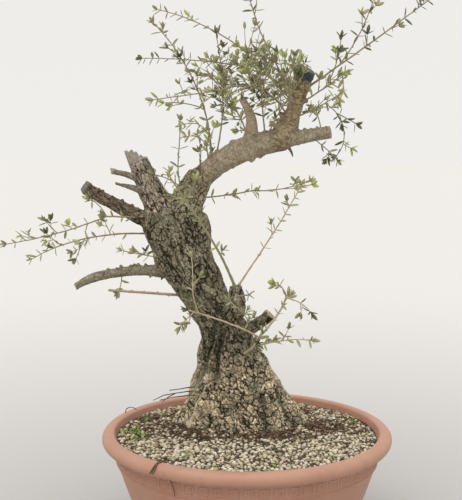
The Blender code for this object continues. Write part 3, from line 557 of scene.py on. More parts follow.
def markWood(mesh, lines):
    # each point of the wood learns its limb's grain direction, relief and colour, blended where limbs meet
    count = len(mesh.vertices)
    points = np.empty(count * 3, np.float32)
    mesh.vertices.foreach_get("co", points)
    points = points.reshape(-1, 3).astype(float)
    best, grain, relief, tint = trunkBark(points)
    total = seamWeight(best)
    relief *= total
    tint *= total[:, None]
    owner = np.zeros(count, int)
    cut, ends = np.zeros(count), np.zeros((count, 3))
    for number, limb in enumerate(limbs, 1):
        size, longer, rough, colour = barkLooks.get(limb.name, barkLooks[limb.bark])
        shares = np.linspace(0, 1, max(8, round(limb.length / 2)) + 1)
        frames = ringFrames(lines[limb.name], shares)
        centres, sides, ups, ways = (np.array([frame[i] for frame in frames]) for i in range(4))
        radii = np.array([between(limb.radii, share) for share in shares]) * mm
        low, high = centres.min(0) - barkBlend["reach"], centres.max(0) + barkBlend["reach"]
        near = np.flatnonzero(np.all((points > low) & (points < high), axis=1))
        gap = np.linalg.norm(points[near][:, None, :] - centres[None], axis=2) - radii[None]
        k = gap.argmin(1)
        gap = gap[np.arange(len(near)), k]
        off = points[near] - centres[k]
        run = shares[k] * limb.length * mm + (off * ways[k]).sum(1)
        local = np.stack([(off * sides[k]).sum(1), (off * ups[k]).sum(1), run / longer], 1) / (size * mm)
        weight = seamWeight(gap)
        total[near] += weight
        relief[near] += weight * rough
        tint[near] += weight[:, None] * np.array(colour)
        closer = gap < best[near]
        chosen = near[closer]
        best[chosen] = gap[closer]
        owner[chosen] = number
        grain[chosen] = local[closer] + barkBlend["shift"] * number
        cut[chosen] = 0
        if limb.name in woodEnds:
            ends[chosen], deep = woodEnds[limb.name]
            cut[chosen] = np.clip((run[closer] - (limb.length - deep) * mm) / (deep * 0.5 * mm), 0, 1)
    setAttribute(mesh, "grain", "FLOAT_VECTOR", grain)
    setAttribute(mesh, "relief", "FLOAT", relief / total * mm * (1 - barkBlend["smoothCut"] * cut))
    colour = tint / total[:, None] * (1 - cut[:, None]) + ends * cut[:, None]
    setAttribute(mesh, "tint", "FLOAT_COLOR", np.concatenate([colour, np.ones((count, 1))], 1))
    return owner


barkPattern = {
    "Crack width": 0.075, "Warp": 1.15, "Roughness": 1.25, "Fine cracks": 0.55, "Dome": 0.12,
}


def platePattern(tree, grain, warp):
    # how far the nearest crack is, each plate's own number, how open cracks are here, and the finer cracks
    def bent(vector, scale, reach):
        wave = vectorNode(tree, "SUBTRACT", noiseOf(tree, vector, scale, 2.0, "Color"), (0.5, 0.5, 0.5))
        return vectorNode(tree, "ADD", vector, vectorNode(tree, "SCALE", wave, reach))

    def gap(vector, scale):
        return addNode(tree, "ShaderNodeTexVoronoi", {"Vector": vector, "Scale": scale},
                       feature="DISTANCE_TO_EDGE").outputs[0]

    place = bent(bent(grain, 1.1, warp), 3.4, 0.30)
    cell = addNode(tree, "ShaderNodeTexVoronoi", {"Vector": place, "Scale": 1.0}, feature="F1")
    tone = addNode(tree, "ShaderNodeSeparateXYZ", {0: cell.outputs["Color"]}).outputs[0]
    where = noiseOf(tree, grain, 0.42, 2.0)
    return gap(place, 1.0), tone, where, gap(bent(bent(grain, 1.7, 0.7), 5.0, 0.22), 2.1)


def barkTree():
    # plates with deep cracks between them, smaller cracks across them, and a rough skin
    tree, inputs = newTree("bark relief", {name: "Float" for name in barkPattern})
    grain, relief = storedValue(tree, "grain", "FLOAT_VECTOR"), storedValue(tree, "relief")
    edge, tone, where, fine = platePattern(tree, grain, inputs["Warp"])
    width = product(tree, inputs["Crack width"], softRamp(tree, where, 0.36, 0.64, 0.45, 1.45))
    crack = product(tree, softRamp(tree, edge, 0.0, width, 1.0, 0.0),
                    softRamp(tree, where, 0.34, 0.5, 0.5, 1.0))
    dome = product(tree, softRamp(tree, edge, 0.0, 0.34, -1.0, 0.0), inputs["Dome"])
    fine = product(tree, softRamp(tree, fine, 0.0, 0.09, 1.0, 0.0), inputs["Fine cracks"])
    rough = mathNode(tree, "SUBTRACT", noiseOf(tree, grain, 4.2, 4.0, Roughness=0.62), 0.5)
    height = product(tree, mathNode(tree, "SUBTRACT", tone, 0.6), 0.45)
    height = mathNode(tree, "ADD", height, product(tree, rough, inputs["Roughness"]))
    height = mathNode(tree, "ADD", height, dome)
    height = mathNode(tree, "SUBTRACT", height, crack)
    height = product(tree, mathNode(tree, "SUBTRACT", height, fine), relief)
    offset = vectorNode(tree, "SCALE", addNode(tree, "GeometryNodeInputNormal").outputs[0], height)
    return closeTree(tree, move(tree, inputs["Geometry"], offset), inputs)


# A mass of foliage is a stem and the shoots that fork from it or from each other. Each shoot carries its
# own number of side twigs, as long as its reach near the shoot's root.
Shoot = namedtuple("Shoot", "name parent at bearing rise length bow swing root tip twigs reach")
masses = {
    "west_arch_spray": (
        Shoot("stem", "west_high_bough", 0.37, -123, 7, 63, -6, -56, 1.8, 1.4, 0, 0),
        Shoot("outer", "stem", 0.97, -164, -21, 154, 14, 3, 1.4, 0.8, 2, 34),
        Shoot("upper", "stem", 0.97, -163, 64, 40, -37, 29, 1.1, 0.8, 0, 0)),
    "west_back_spray": (Shoot("stem", "trunk", 0.90, 180, 9, 256, -37, -27, 2.0, 0.8, 3, 40),),
    "west_short_spray": (Shoot("stem", "trunk", 0.795, -136, 8, 108, 6, -25, 1.4, 0.8, 1, 24),),
    "low_bough_sprig": (Shoot("stem", "west_low_bough", 0.79, -88, -82, 34, 50, -24, 1.1, 0.8, 0, 0),),
    "crotch_upright": (Shoot("stem", "east_leader", 0.55, -144, 50, 131, 43, 123, 1.3, 0.9, 0, 0),),
    "crotch_side_sprig": (Shoot("stem", "east_leader", 0.55, -105, 45, 89, -34, -43, 1.3, 0.9, 1, 18),),
    "front_whip": (
        Shoot("stem", "shoulder", 0.90, -115, 56, 214, 0, -70, 2.6, 1.3, 0, 0),
        Shoot("east", "stem", 0.82, -14, 41, 34, 26, -43, 1.0, 0.8, 0, 0),
        Shoot("west", "stem", 0.79, -120, 16, 32, 8, -53, 1.0, 0.8, 0, 0)),
    "east_fork_spray": (
        Shoot("stem", "trunk", 0.325, -59, -1, 111, 56, -1, 3.0, 2.6, 0, 0),
        Shoot("crossing", "stem", 0.90, -134, 30, 127, -14, -49, 1.9, 1.4, 0, 0),
        Shoot("upright", "crossing", 0.88, -166, 65, 85, 43, 111, 1.1, 0.8, 1, 18),
        Shoot("drooping", "crossing", 0.93, -152, -32, 30, -21, -2, 1.0, 0.8, 1, 14),
        Shoot("forward", "stem", 0.97, -20, 46, 74, 23, 13, 2.4, 1.6, 1, 30),
        Shoot("tip_west", "forward", 0.93, -151, 81, 33, -58, 5, 1.0, 0.8, 1, 16),
        Shoot("tip_east", "forward", 0.93, -2, -8, 45, -47, 2, 1.0, 0.8, 1, 16)),
    "east_low_spray": (Shoot("stem", "trunk", 0.305, -30, 30, 157, -26, -12, 1.6, 0.8, 2, 26),),
    "shoulder_sprig": (Shoot("stem", "east_stub", 0.35, -57, 35, 98, 4, -104, 1.2, 0.9, 1, 16),),
    "east_diagonal_whip": (
        Shoot("stem", "shoulder", 0.92, -1, 57, 196, -2, -49, 1.8, 0.9, 2, 20),
        Shoot("end", "stem", 0.97, -43, 23, 21, -10, 20, 0.9, 0.8, 0, 0)),
    "east_level_whip": (
        Shoot("stem", "east_leader", 0.58, 1, 3, 105, 7, 22, 1.4, 1.2, 1, 14),
        Shoot("end", "stem", 0.97, 24, -4, 102, 24, -2, 1.2, 0.8, 2, 18)),
    "tall_west_whip": (
        Shoot("stem", "main_bough", 0.22, -91, 73, 245, -27, -78, 1.8, 0.8, 2, 28),
        Shoot("low", "stem", 0.39, -137, 19, 69, -24, -19, 1.1, 0.8, 1, 18)),
    "middle_upright": (
        Shoot("stem", "main_bough", 0.24, 6, 77, 208, 3, 162, 1.7, 0.8, 2, 32),
        Shoot("low", "stem", 0.66, 148, 21, 59, -15, 5, 1.1, 0.8, 1, 18)),
    "bough_side_sprig": (Shoot("stem", "main_bough", 0.19, 71, 90, 133, -105, 83, 1.3, 0.8, 1, 22),),
    "bough_low_sprig": (Shoot("stem", "main_bough", 0.16, -74, 81, 100, -88, -68, 1.2, 0.8, 1, 16),),
    "bend_sprig": (Shoot("stem", "main_bough", 0.05, 34, 93, 71, -40, 93, 1.3, 0.9, 1, 14),),
    "long_west_whip": (
        Shoot("stem", "top_stub", 0.50, 130, 40, 142, 2, 23, 1.9, 1.4, 2, 44),
        Shoot("end", "stem", 0.97, 158, 36, 154, -22, 10, 1.4, 0.8, 1, 28)),
    "level_west_whip": (
        Shoot("stem", "top_stub", 0.63, 122, 30, 126, -12, 39, 1.7, 1.3, 2, 40),
        Shoot("end", "stem", 0.97, 156, 10, 167, -9, 13, 1.3, 0.8, 1, 26)),
    "front_level_spray": (
        Shoot("stem", "top_stub", 0.28, -141, 62, 141, -86, -19, 1.7, 1.3, 2, 44),
        Shoot("end", "stem", 0.97, -150, -9, 102, 1, -23, 1.3, 0.8, 1, 26)),
    "top_whip": (Shoot("stem", "top_stub", 0.60, -124, 34, 187, 45, -43, 1.8, 0.8, 2, 30),),
    "long_east_whip": (
        Shoot("stem", "top_stub", 0.68, -9, 34, 263, 3, 2, 2.0, 0.8, 3, 26),
        Shoot("fork", "stem", 0.26, 41, 41, 153, 28, 3, 1.4, 0.8, 2, 22)),
    "east_front_spray": (
        Shoot("stem", "top_stub", 0.50, -43, 21, 97, 13, 7, 1.7, 0.9, 2, 26),
        Shoot("hanging", "stem", 0.95, -70, -59, 45, 2, -68, 0.9, 0.8, 0, 0),
        Shoot("upright", "stem", 0.60, -48, 45, 78, 35, -20, 1.1, 0.8, 1, 18)),
    "east_hanging_spray": (
        Shoot("stem", "top_stub", 0.30, -3, 23, 98, 5, 50, 1.6, 0.9, 2, 24),
        Shoot("hanging", "stem", 0.60, 71, 5, 117, -142, -109, 1.1, 0.8, 1, 18),
        Shoot("east", "hanging", 0.35, 38, -18, 42, -6, -10, 0.9, 0.8, 0, 0)),
    "bough_end_hanger": (Shoot("stem", "bough_end", 0.60, -15, -38, 60, 3, -41, 1.2, 0.8, 1, 18),),
    "bough_end_sprig": (Shoot("stem", "bough_end", 0.80, 81, 43, 69, -12, 37, 1.2, 0.8, 1, 22),),
    "split_peg_sprig": (Shoot("stem", "split_peg", 0.10, -64, 55, 47, -63, -94, 1.1, 0.9, 0, 0),),
    "front_bough_spray": (Shoot("stem", "main_bough", 0.80, -100, 58, 150, -24, 6, 1.7, 0.8, 3, 42),),
    "front_centre_spray": (Shoot("stem", "top_stub", 0.36, -104, 30, 135, 12, 24, 1.6, 0.8, 3, 40),),
    "back_bough_spray": (Shoot("stem", "main_bough", 0.66, 112, 52, 165, -22, 14, 1.8, 0.8, 3, 44),),
    "back_centre_spray": (Shoot("stem", "top_stub", 0.40, 92, 30, 160, 10, -22, 1.7, 0.8, 3, 44),),
    "back_east_spray": (Shoot("stem", "main_bough", 0.80, 78, 32, 150, 10, -30, 1.6, 0.8, 3, 40),),
    "back_fork_spray": (Shoot("stem", "east_leader", 0.62, 78, 26, 128, 8, -30, 1.6, 0.8, 2, 34),),
    "back_trunk_sprig": (Shoot("stem", "trunk", 0.70, 96, 24, 100, 14, 22, 1.5, 0.8, 2, 26),),
}

shootRule = {   # where side growth starts and ends along a shoot, its steps in millimetres, and its chances
    "stemBare": 0.30, "forkBare": 0.06, "spurFrom": 0.12, "spurTo": 0.92, "spurStep": 30,
    "spurChance": 0.26, "turn": 137.5, "forkFrom": 24, "room": 1.6 * mm, "bendStep": 5 * mm, "bend": 0.35,
}
twigRule = {    # slant in degrees, pull upwards, radius at root and tip in millimetres, bare share
    "side": ((38, 60), 0.4, 0.8, 0.56, 0.10), "spur": ((40, 65), 0.35, 0.6, 0.42, 0.12),
    "crowded": ((35, 75), 0.3, 0.75, 0.45, 0.38), "fork": ((40, 60), 0.0, 0.55, 0.4, 0.15),
}
thicket = {     # where the crown is densest: middle and reach, and what grows there besides, not too close
    "middle": (0.010, 0.0, 0.722), "reach": (0.080, 0.080, 0.062), "step": 8, "length": (18, 46),
    "room": 37 * mm, "most": 1, "bareTwigs": 3,
}
leafRule = {    # steps and lengths in millimetres, angles in degrees
    "pairStep": (13.5, 20.0), "spread": 62, "spreadDice": 14, "length": (12.0, 17.5), "roll": 0.7,
    "kept": 0.85, "keptOnBare": 0.6, "room": 1.2 * mm,
}


class Shoots:
    # twigs and leaves of one mass, grown by the same seeded rule as its solid and carried finer
    crowd = {}      # how many twigs end in each cell of the thicket, counted over all masses

    def __init__(self, name, shoots, lines, wood):
        self.dice = random.Random(name)
        self.finer = random.Random(name + " leaves")
        self.wood = wood
        self.twigs = []
        self.leaves = []
        grown = {}
        self.laid = []
        for shoot in shoots:
            parent = grown.get(shoot.parent) or lines[shoot.parent]
            line = centreLine(atShare(parent, shoot.at)[0], shoot)
            grown[shoot.name] = line
            self.laid.append((shoot, line))
            isStem = shoot is shoots[0]
            bare = shootRule["stemBare"] if isStem else shootRule["forkBare"]
            self.addTwig(line, shoot.root, shoot.tip, bare, isStem)

    def addTwig(self, line, root, tip, bare, isStem=False):
        # radii in millimetres; a stem swells where it leaves its limb
        self.twigs.append((line, root, tip, bare, isStem, self.finer.random()))

    def sprout(self, kind, line, share, span, dice, turn=None):
        # one twig of a kind where it is clear of the wood; its length is a size times a number between two
        slants, lift, root, tip, bare = twigRule[kind]
        start, along = atShare(line, share)
        slant = math.radians(dice.uniform(*slants))
        turn = dice.uniform(0, 360) if turn is None else turn
        way = along * math.cos(slant) + across(along, turn) * math.sin(slant)
        size, low, high = span
        length = size * dice.uniform(low, high)
        twig = bentLine(start, (way + Vector((0, 0, lift))).normalized(), length, self.finer)
        if not self.isClear(twig) or kind == "crowded" and not self.hasRoom(twig[-1]):
            return 0.0, twig
        self.addTwig(twig, root, tip, bare)
        return length, twig

    def branch(self):
        # side twigs, the longer ones forked, then short leafy spurs between them
        for shoot, line in self.laid:
            turn = self.dice.uniform(0, 360)
            for i in range(shoot.twigs):
                share = 0.3 + 0.6 * (i + self.dice.uniform(0.2, 0.8)) / shoot.twigs
                turn += shootRule["turn"]
                span = (shoot.reach * mm * (1 - 0.4 * share), 0.8, 1.2)
                length, twig = self.sprout("side", line, share, span, self.dice, turn)
                if length > shootRule["forkFrom"] * mm:
                    self.sprout("fork", twig, 0.5, (length, 0.3, 0.5), self.finer)
            first = shootRule["stemBare"] if shoot is self.laid[0][0] else shootRule["spurFrom"]
            reach = shootRule["spurTo"] - first
            count = int(shoot.length * reach / shootRule["spurStep"])
            for i in range(count):
                share = first + reach * (i + self.finer.random()) / count
                if self.finer.random() < shootRule["spurChance"]:
                    self.sprout("spur", line, share, (mm * (1.15 - 0.5 * share), 7, 22), self.finer)

    def thicken(self):
        # crowded side shoots, each with a few bare twigs, wherever a shoot runs through the thicket
        middle = Vector(thicket["middle"])
        for shoot, line in self.laid:
            count = int(shoot.length / thicket["step"])
            for i in range(count):
                share = (i + self.finer.random()) / count
                root, along = atShare(line, share)
                off = [(a - b) / c for a, b, c in zip(root, middle, thicket["reach"])]
                length = 0.0
                if share > 0.1 and sum(v * v for v in off) < 1:
                    length = self.sprout("crowded", line, share, (mm, *thicket["length"]), self.finer)[0]
                for _ in range(thicket["bareTwigs"] if length else 0):
                    way = across(along, self.finer.uniform(0, 360)) + along * self.finer.uniform(-0.3, 0.9)
                    size = length * self.finer.uniform(0.6, 1.1)
                    twig = bentLine(root, way.normalized(), size, self.finer)
                    if self.isClear(twig):
                        self.addTwig(twig, 0.6, 0.4, 0.9)

    def hasRoom(self, point):
        cell = tuple(round(v / thicket["room"]) for v in point)
        self.crowd[cell] = self.crowd.get(cell, 0) + 1
        return self.crowd[cell] <= thicket["most"]

    def isClear(self, twig):
        return all(self.wood.find_nearest(point, shootRule["room"])[0] is None for point in twig[1:])

    def leaf(self):
        # opposite pairs, each turned across the last, and a rosette of longer leaves at the tip
        finer = self.finer
        for line, radius, tip, bare, isStem, shade in self.twigs:
            length = sum((b - a).length for a, b in zip(line, line[1:])) / mm
            run = bare * length + finer.uniform(2, 5)
            turn = finer.uniform(0, 180)
            kept = leafRule["keptOnBare" if bare > 0.35 else "kept"]
            while run < length - 2:
                share = run / length
                root, along = atShare(line, share)
                turn += 90 + finer.uniform(-12, 12)
                for half in (0, 180):
                    if finer.random() < kept:
                        spread = leafRule["spread"] + finer.uniform(-1, 1) * leafRule["spreadDice"]
                        self.addLeaf(root, along, turn + half, spread, shade, 0.90 + 0.10 * share ** 3)
                run += finer.uniform(*leafRule["pairStep"]) * (1.0 - 0.45 * share ** 4)
            end, along = atShare(line, 1.0)
            for k in range(1 if bare > 0.8 else 3 if bare > 0.3 and not isStem else 4):
                self.addLeaf(end, along, turn + 137 * k, 14 + 13 * k, shade, 0.84, 3)

    def addLeaf(self, root, along, turn, spread, shade, size, shape=None):
        out = across(along, turn)
        angle = math.radians(spread)
        way = along * math.cos(angle) + out * math.sin(angle)
        way = (way + Vector((0, 0, self.finer.uniform(-0.10, 0.16)))).normalized()
        length = self.finer.uniform(*leafRule["length"]) * size * mm
        if self.wood.find_nearest(root + way * length, leafRule["room"])[0] is not None:
            return
        flat = out * -math.cos(angle) + along * math.sin(angle) + Vector((0, -0.5, 0.6))
        side = flat.normalized().cross(way).normalized()
        side = Matrix.Rotation(self.finer.gauss(0, leafRule["roll"]), 3, way) @ side
        shape = self.finer.randrange(3) if shape is None else shape
        self.leaves.append((root, Matrix((way, side, way.cross(side))).transposed(), length, shade, shape))


def across(along, turn):
    return Matrix.Rotation(math.radians(turn), 3, along) @ along.orthogonal().normalized()


def bentLine(root, way, length, dice):
    # a short twig that curves up a little and wanders as it grows
    points = [root.copy()]
    steps = max(3, round(length / shootRule["bendStep"]))
    lean = Vector((dice.uniform(-1, 1), dice.uniform(-1, 1), dice.uniform(-0.2, 1.0))) * shootRule["bend"]
    for i in range(steps):
        way = (way + lean / steps).normalized()
        points.append(points[-1] + way * length / steps)
    return points


def twigTree():
    # round wood along each edge chain, as thick as its "thick" attribute says
    tree, inputs = newTree("twig wood", {"Sides": "Int"})
    chain = addNode(tree, "GeometryNodeMeshToCurve", {"Mesh": inputs["Geometry"]})
    ring = addNode(tree, "GeometryNodeCurvePrimitiveCircle", {"Resolution": inputs["Sides"], "Radius": 1.0})
    wood = addNode(tree, "GeometryNodeCurveToMesh", {
        "Curve": chain.outputs[0], "Profile Curve": ring.outputs[0], "Scale": storedValue(tree, "thick"),
        "Fill Caps": True})
    wood = addNode(tree, "GeometryNodeSetShadeSmooth", {"Geometry": wood.outputs[0], "Shade Smooth": True})
    return closeTree(tree, wood.outputs[0], inputs)


twigSkin = {    # swell of a stem's root, slimness and sway of the shoots, size of alternate points, sides
    "stemSwell": 1.0, "slim": 0.82, "sway": 0.55 * mm, "swaySize": 14 * mm, "knuckles": (0.94, 1.12),
    "sides": 7,
}


def twigMesh(twigs):
    # edge chains down the middle of each twig, with a radius at every point that swells at the nodes
    places, thick, edges = [], [], []
    for line, root, tip, _, isStem, shade in twigs:
        steps = len(line) - 1
        for i, point in enumerate(line):
            share = i / steps
            radius = (root + (tip - root) * share) * mm
            if isStem:
                radius *= 1 + twigSkin["stemSwell"] * math.exp(-share * steps * 0.9)
            if root > 1:
                radius *= twigSkin["slim"]
            sway = 0.0 if i == 0 else twigSkin["sway"]
            drift = noise.noise_vector(point / twigSkin["swaySize"] + Vector((shade * 50, 0, 0))) * sway
            if i:
                edges.append((len(places) - 1, len(places)))
            places.append(point + drift)
            thick.append(radius * twigSkin["knuckles"][i % 2])
    mesh = bpy.data.meshes.new("twig chains")
    mesh.from_pydata(places, edges, [])
    setAttribute(mesh, "thick", "FLOAT", thick)
    return mesh


leafShape = {
    "halfWidth": 0.142, "fold": 0.035, "thickness": 0.012, "stations": (0.0, 0.14, 0.36, 0.64, 0.87, 1.0),
    "outline": (0.10, 0.58, 1.0, 0.98, 0.62, 0.08),
    "kinds": ((0.86, 0.05), (1.0, 0.16), (0.74, -0.02), (1.3, 0.05)),   # width, droop; tips have the last
}


def leafMesh(name, width, droop):
    # a narrow blade one unit long, folded along its midrib, drooping to the tip, closed underneath
    bm = bmesh.new()
    half = leafShape["halfWidth"] * width
    rows = []
    for x, reach in zip(leafShape["stations"], leafShape["outline"]):
        dip = -droop * x * x
        edge = dip + leafShape["fold"] * reach
        thick = leafShape["thickness"] * (0.4 + reach)
        corners = ((-half * reach, edge), (0, dip), (half * reach, edge), (0, dip - 2 * thick))
        rows.append([bm.verts.new((x, y, z)) for y, z in corners])
    for a, b in zip(rows, rows[1:]):
        for i in range(4):
            j = (i + 1) % 4
            bm.faces.new((a[i], b[i], b[j], a[j]))
    bm.faces.new(rows[0])
    bm.faces.new(rows[-1][::-1])
    bmesh.ops.recalc_face_normals(bm, faces=bm.faces)
    mesh = toMesh(bm, name)
    mesh.shade_smooth()
    return mesh


chunk = {"size": 0.86, "cut": 0.22, "wear": 0.13, "squash": ((0.85, 1.2), (0.75, 1.0), (0.6, 0.9))}


def chunkMesh(name, seed):
    # a worn grain one unit across: a box with its edges and corners cut off, then squashed unevenly
    dice = random.Random(seed)
    bm = bmesh.new()
    bmesh.ops.create_cube(bm, size=chunk["size"])
    bmesh.ops.bevel(bm, geom=bm.verts[:] + bm.edges[:], offset=chunk["cut"], segments=1, affect="EDGES")
    for vert in bm.verts:
        vert.co *= 1 + dice.uniform(-chunk["wear"], chunk["wear"])
    squash = Vector([dice.uniform(low, high) for low, high in chunk["squash"]])
    for vert in bm.verts:
        vert.co *= squash
    bmesh.ops.recalc_face_normals(bm, faces=bm.faces)
    return toMesh(bm, name)


def shelf(name, meshes):
    # a collection outside the scene that a tree picks its shapes from
    collection = bpy.data.collections.new(name)
    for mesh in meshes:
        collection.objects.link(bpy.data.objects.new(mesh.name, mesh))
    return collection


def leafTree():
    # a leaf on every point of one shade, turned and sized by the point's attributes
    tree, inputs = newTree("leaf sprays", {"Leaves": "Collection", "Shade": "Int"})
    own = addNode(tree, "FunctionNodeCompare", {2: storedValue(tree, "shade", "INT"), 3: inputs["Shade"]},
                  data_type="INT", operation="EQUAL")
    points = addNode(tree, "GeometryNodeMeshToPoints",
                     {"Mesh": inputs["Geometry"], "Selection": own.outputs[0]})
    leaves = placeShapes(tree, points.outputs[0], inputs["Leaves"], {
        "Instance Index": storedValue(tree, "shape", "INT"), "Scale": storedValue(tree, "size"),
        "Rotation": storedValue(tree, "turn", "QUATERNION")})
    return closeTree(tree, leaves, inputs)


def leafPoints(leaves):
    mesh = bpy.data.meshes.new("leaf roots")
    roots, turns, sizes, shades, shapes = zip(*leaves)
    mesh.from_pydata(roots, [], [])
    setAttribute(mesh, "turn", "QUATERNION", [tuple(turn.to_quaternion()) for turn in turns])
    setAttribute(mesh, "size", "FLOAT", sizes)
    setAttribute(mesh, "shade", "INT", [shadeOf(shade) for shade in shades])
    setAttribute(mesh, "shape", "INT", shapes)
    return mesh


def scatterTree():
    # loose pieces on a surface, no two closer than a distance; a share of them is kept for each colour
    tree, inputs = newTree("loose pieces", {
        "Shapes": "Collection", "Mask": "String", "Seed": "Int", "Spacing": "Float", "Smallest": "Float",
        "Largest": "Float", "Sink": "Float", "Tilt": "Float", "From": "Float", "To": "Float"})
    spots = addNode(tree, "GeometryNodeDistributePointsOnFaces", {
        "Mesh": inputs["Geometry"], "Distance Min": inputs["Spacing"], "Density Max": 200000.0,
        "Density Factor": storedValue(tree, inputs["Mask"]), "Seed": inputs["Seed"],
    }, distribute_method="POISSON")
    lot = randomOf(tree, "FLOAT", 0.0, 1.0, 11)
    own = product(tree, mathNode(tree, "GREATER_THAN", lot, inputs["From"]),
                  mathNode(tree, "LESS_THAN", lot, inputs["To"]))
    sink = product(tree, randomOf(tree, "FLOAT", 0.0, inputs["Sink"], 12), -1.0)
    moved = move(tree, spots.outputs[0], upright(tree, sink))
    lean = addNode(tree, "ShaderNodeCombineXYZ", {"X": inputs["Tilt"], "Y": inputs["Tilt"], "Z": math.tau})
    lean = lean.outputs[0]
    laid = placeShapes(tree, moved, inputs["Shapes"], {
        "Selection": own, "Instance Index": randomOf(tree, "INT", 0, 3, 15),
        "Rotation": randomOf(tree, "FLOAT_VECTOR", vectorNode(tree, "SCALE", lean, -1.0), lean, 13),
        "Scale": randomOf(tree, "FLOAT", inputs["Smallest"], inputs["Largest"], 14)})
    return closeTree(tree, laid, inputs)


bowl = {
    "radius": 225 * mm, "height": 190 * mm, "rimWidth": 20 * mm, "rimHeight": 21 * mm, "lip": 5 * mm,
    "footRadius": 134 * mm, "footEdge": 2 * mm, "bandRadius": 203.5 * mm, "bandHeight": 22 * mm,
    "groove": 3 * mm, "wall": 4.5 * mm, "bodyStep": 1.8 * mm, "bodyCurve": 0.68, "sides": 160, "crease": 50,
    # the band's lower and upper edge: out and up from its face and its ends, in millimetres
    "bandLow": ((-0.5, -0.4), (0.5, 0.4), (0.5, 1.6), (-0.6, 2.4)),
    "bandHigh": ((-0.6, -2.8), (0.0, -2.2), (0.0, -0.7), (-0.7, 0.0)),
}


def arc(centre, radius, start, end, steps):
    points = []
    for i in range(steps + 1):
        angle = math.radians(start + (end - start) * i / steps)
        points.append((centre[0] + radius * math.cos(angle), centre[1] + radius * math.sin(angle)))
    return points


def wallRadius(height):
    bandFoot = bowl["height"] - bowl["rimHeight"] - bowl["groove"] - bowl["bandHeight"]
    foot, widest = bowl["footRadius"], bowl["bandRadius"] - bowl["bodyStep"]
    return foot + (widest - foot) * min(1, height / bandFoot) ** bowl["bodyCurve"]


def turnProfile(profile, sides):
    # spin an open profile about Z and close its two flat ends
    bm = bmesh.new()
    verts = [bm.verts.new((radius, 0, height)) for radius, height in profile]
    edges = [bm.edges.new(pair) for pair in zip(verts, verts[1:])]
    bmesh.ops.spin(bm, geom=verts + edges, cent=(0, 0, 0), axis=(0, 0, 1), angle=math.tau, steps=sides,
                   use_merge=True)
    bmesh.ops.holes_fill(bm, edges=[edge for edge in bm.edges if edge.is_boundary])
    bmesh.ops.recalc_face_normals(bm, faces=bm.faces)
    return bm


def bowlMesh():
    rimFoot = bowl["height"] - bowl["rimHeight"]
    bandTop = rimFoot - bowl["groove"]
    bandFoot = bandTop - bowl["bandHeight"]
    bead = bowl["rimHeight"] / 2
    wall, groove, band = bowl["wall"], bowl["groove"], bowl["bandRadius"]
    profile = [(bowl["footRadius"] - bowl["footEdge"], 0)]
    profile += [(wallRadius(h), h) for h in np.linspace(bowl["footEdge"], bandFoot - groove, 18)]
    profile.append((wallRadius(bandFoot) - groove / 3, bandFoot - groove / 2))
    for foot, steps in ((bandFoot, bowl["bandLow"]), (bandTop, bowl["bandHigh"])):
        profile += [(band + out * mm, foot + up * mm) for out, up in steps]
    profile += arc((band - groove * 0.2, bandTop + groove / 2), groove / 2, 250, 140, 4)
    profile += arc((bowl["radius"] - bead, rimFoot + bead), bead, -100, 90, 20)
    lip = bowl["lip"]
    profile += arc((bowl["radius"] - bowl["rimWidth"] + lip, bowl["height"] - lip), lip, 96, 180, 8)
    profile.append((wallRadius(bandTop) - wall, rimFoot))
    profile += [(wallRadius(h) - wall, h) for h in np.linspace(bandFoot, wall, 10)]
    mesh = toMesh(turnProfile(profile, bowl["sides"]), "bowl")
    mesh.shade_smooth()
    mesh.set_sharp_from_angle(angle=math.radians(bowl["crease"]))
    return mesh


bandPanel = {
    "count": 60, "width": 16.5 * mm, "height": 13.5 * mm, "line": 1.4 * mm, "lift": 0.45 * mm,
    "inset": 0.6 * mm, "bars": (-0.12, 0.16), "barWidth": 0.8, "barHeight": 0.5, "slope": 0.75,
}


def panelMesh():
    # a raised rectangular frame with two bars inside it, facing +X, its middle at the origin
    bm = bmesh.new()
    wide, tall, line, lift = (bandPanel[key] for key in ("width", "height", "line", "lift"))
    bars = [(0, side * (tall - line) / 2, wide, line) for side in (-1, 1)]
    bars += [(side * (wide - line) / 2, 0, line, tall - 2 * line) for side in (-1, 1)]
    bars += [(wide * place, 0, line * bandPanel["barWidth"], tall * bandPanel["barHeight"])
             for place in bandPanel["bars"]]
    for y, z, width, height in bars:
        made = bmesh.ops.create_cube(bm, size=1.0)["verts"]
        for vert in made:
            # the sides slope in as a moulded rib's do
            slope = bandPanel["slope"] if vert.co.x > 0 else 1.0
            across, up = vert.co.y * width * slope, vert.co.z * height * slope
            vert.co = Vector((vert.co.x * 2 * lift, y + across, z + up))
    return toMesh(bm, "band panel")


def panelTree():
    # moulded panels side by side round the band
    tree, inputs = newTree("band panels", {"Panel": "Collection", "Radius": "Float", "Count": "Int",
                                           "Height": "Float"})
    ring = addNode(tree, "GeometryNodeCurvePrimitiveCircle", {"Resolution": inputs["Count"],
                                                              "Radius": inputs["Radius"]})
    spots = addNode(tree, "GeometryNodeCurveToPoints", {"Curve": ring.outputs[0]}, mode="EVALUATED")
    index = addNode(tree, "GeometryNodeInputIndex").outputs[0]
    angle = product(tree, mathNode(tree, "DIVIDE", index, inputs["Count"]), math.tau)
    laid = placeShapes(tree, spots.outputs["Points"], inputs["Panel"], {"Rotation": upright(tree, angle)})
    return closeTree(tree, move(tree, laid, upright(tree, inputs["Height"])), inputs)


soil = {
    "atWall": 181.5 * mm, "seat": 186 * mm, "rings": 44, "sides": 144, "lumps": 2.2 * mm, "gap": 0.6 * mm,
    "depths": (40 * mm, 12 * mm), "sink": 2.4 * mm, "underTrunk": 0.86, "margin": 3.5 * mm,
}


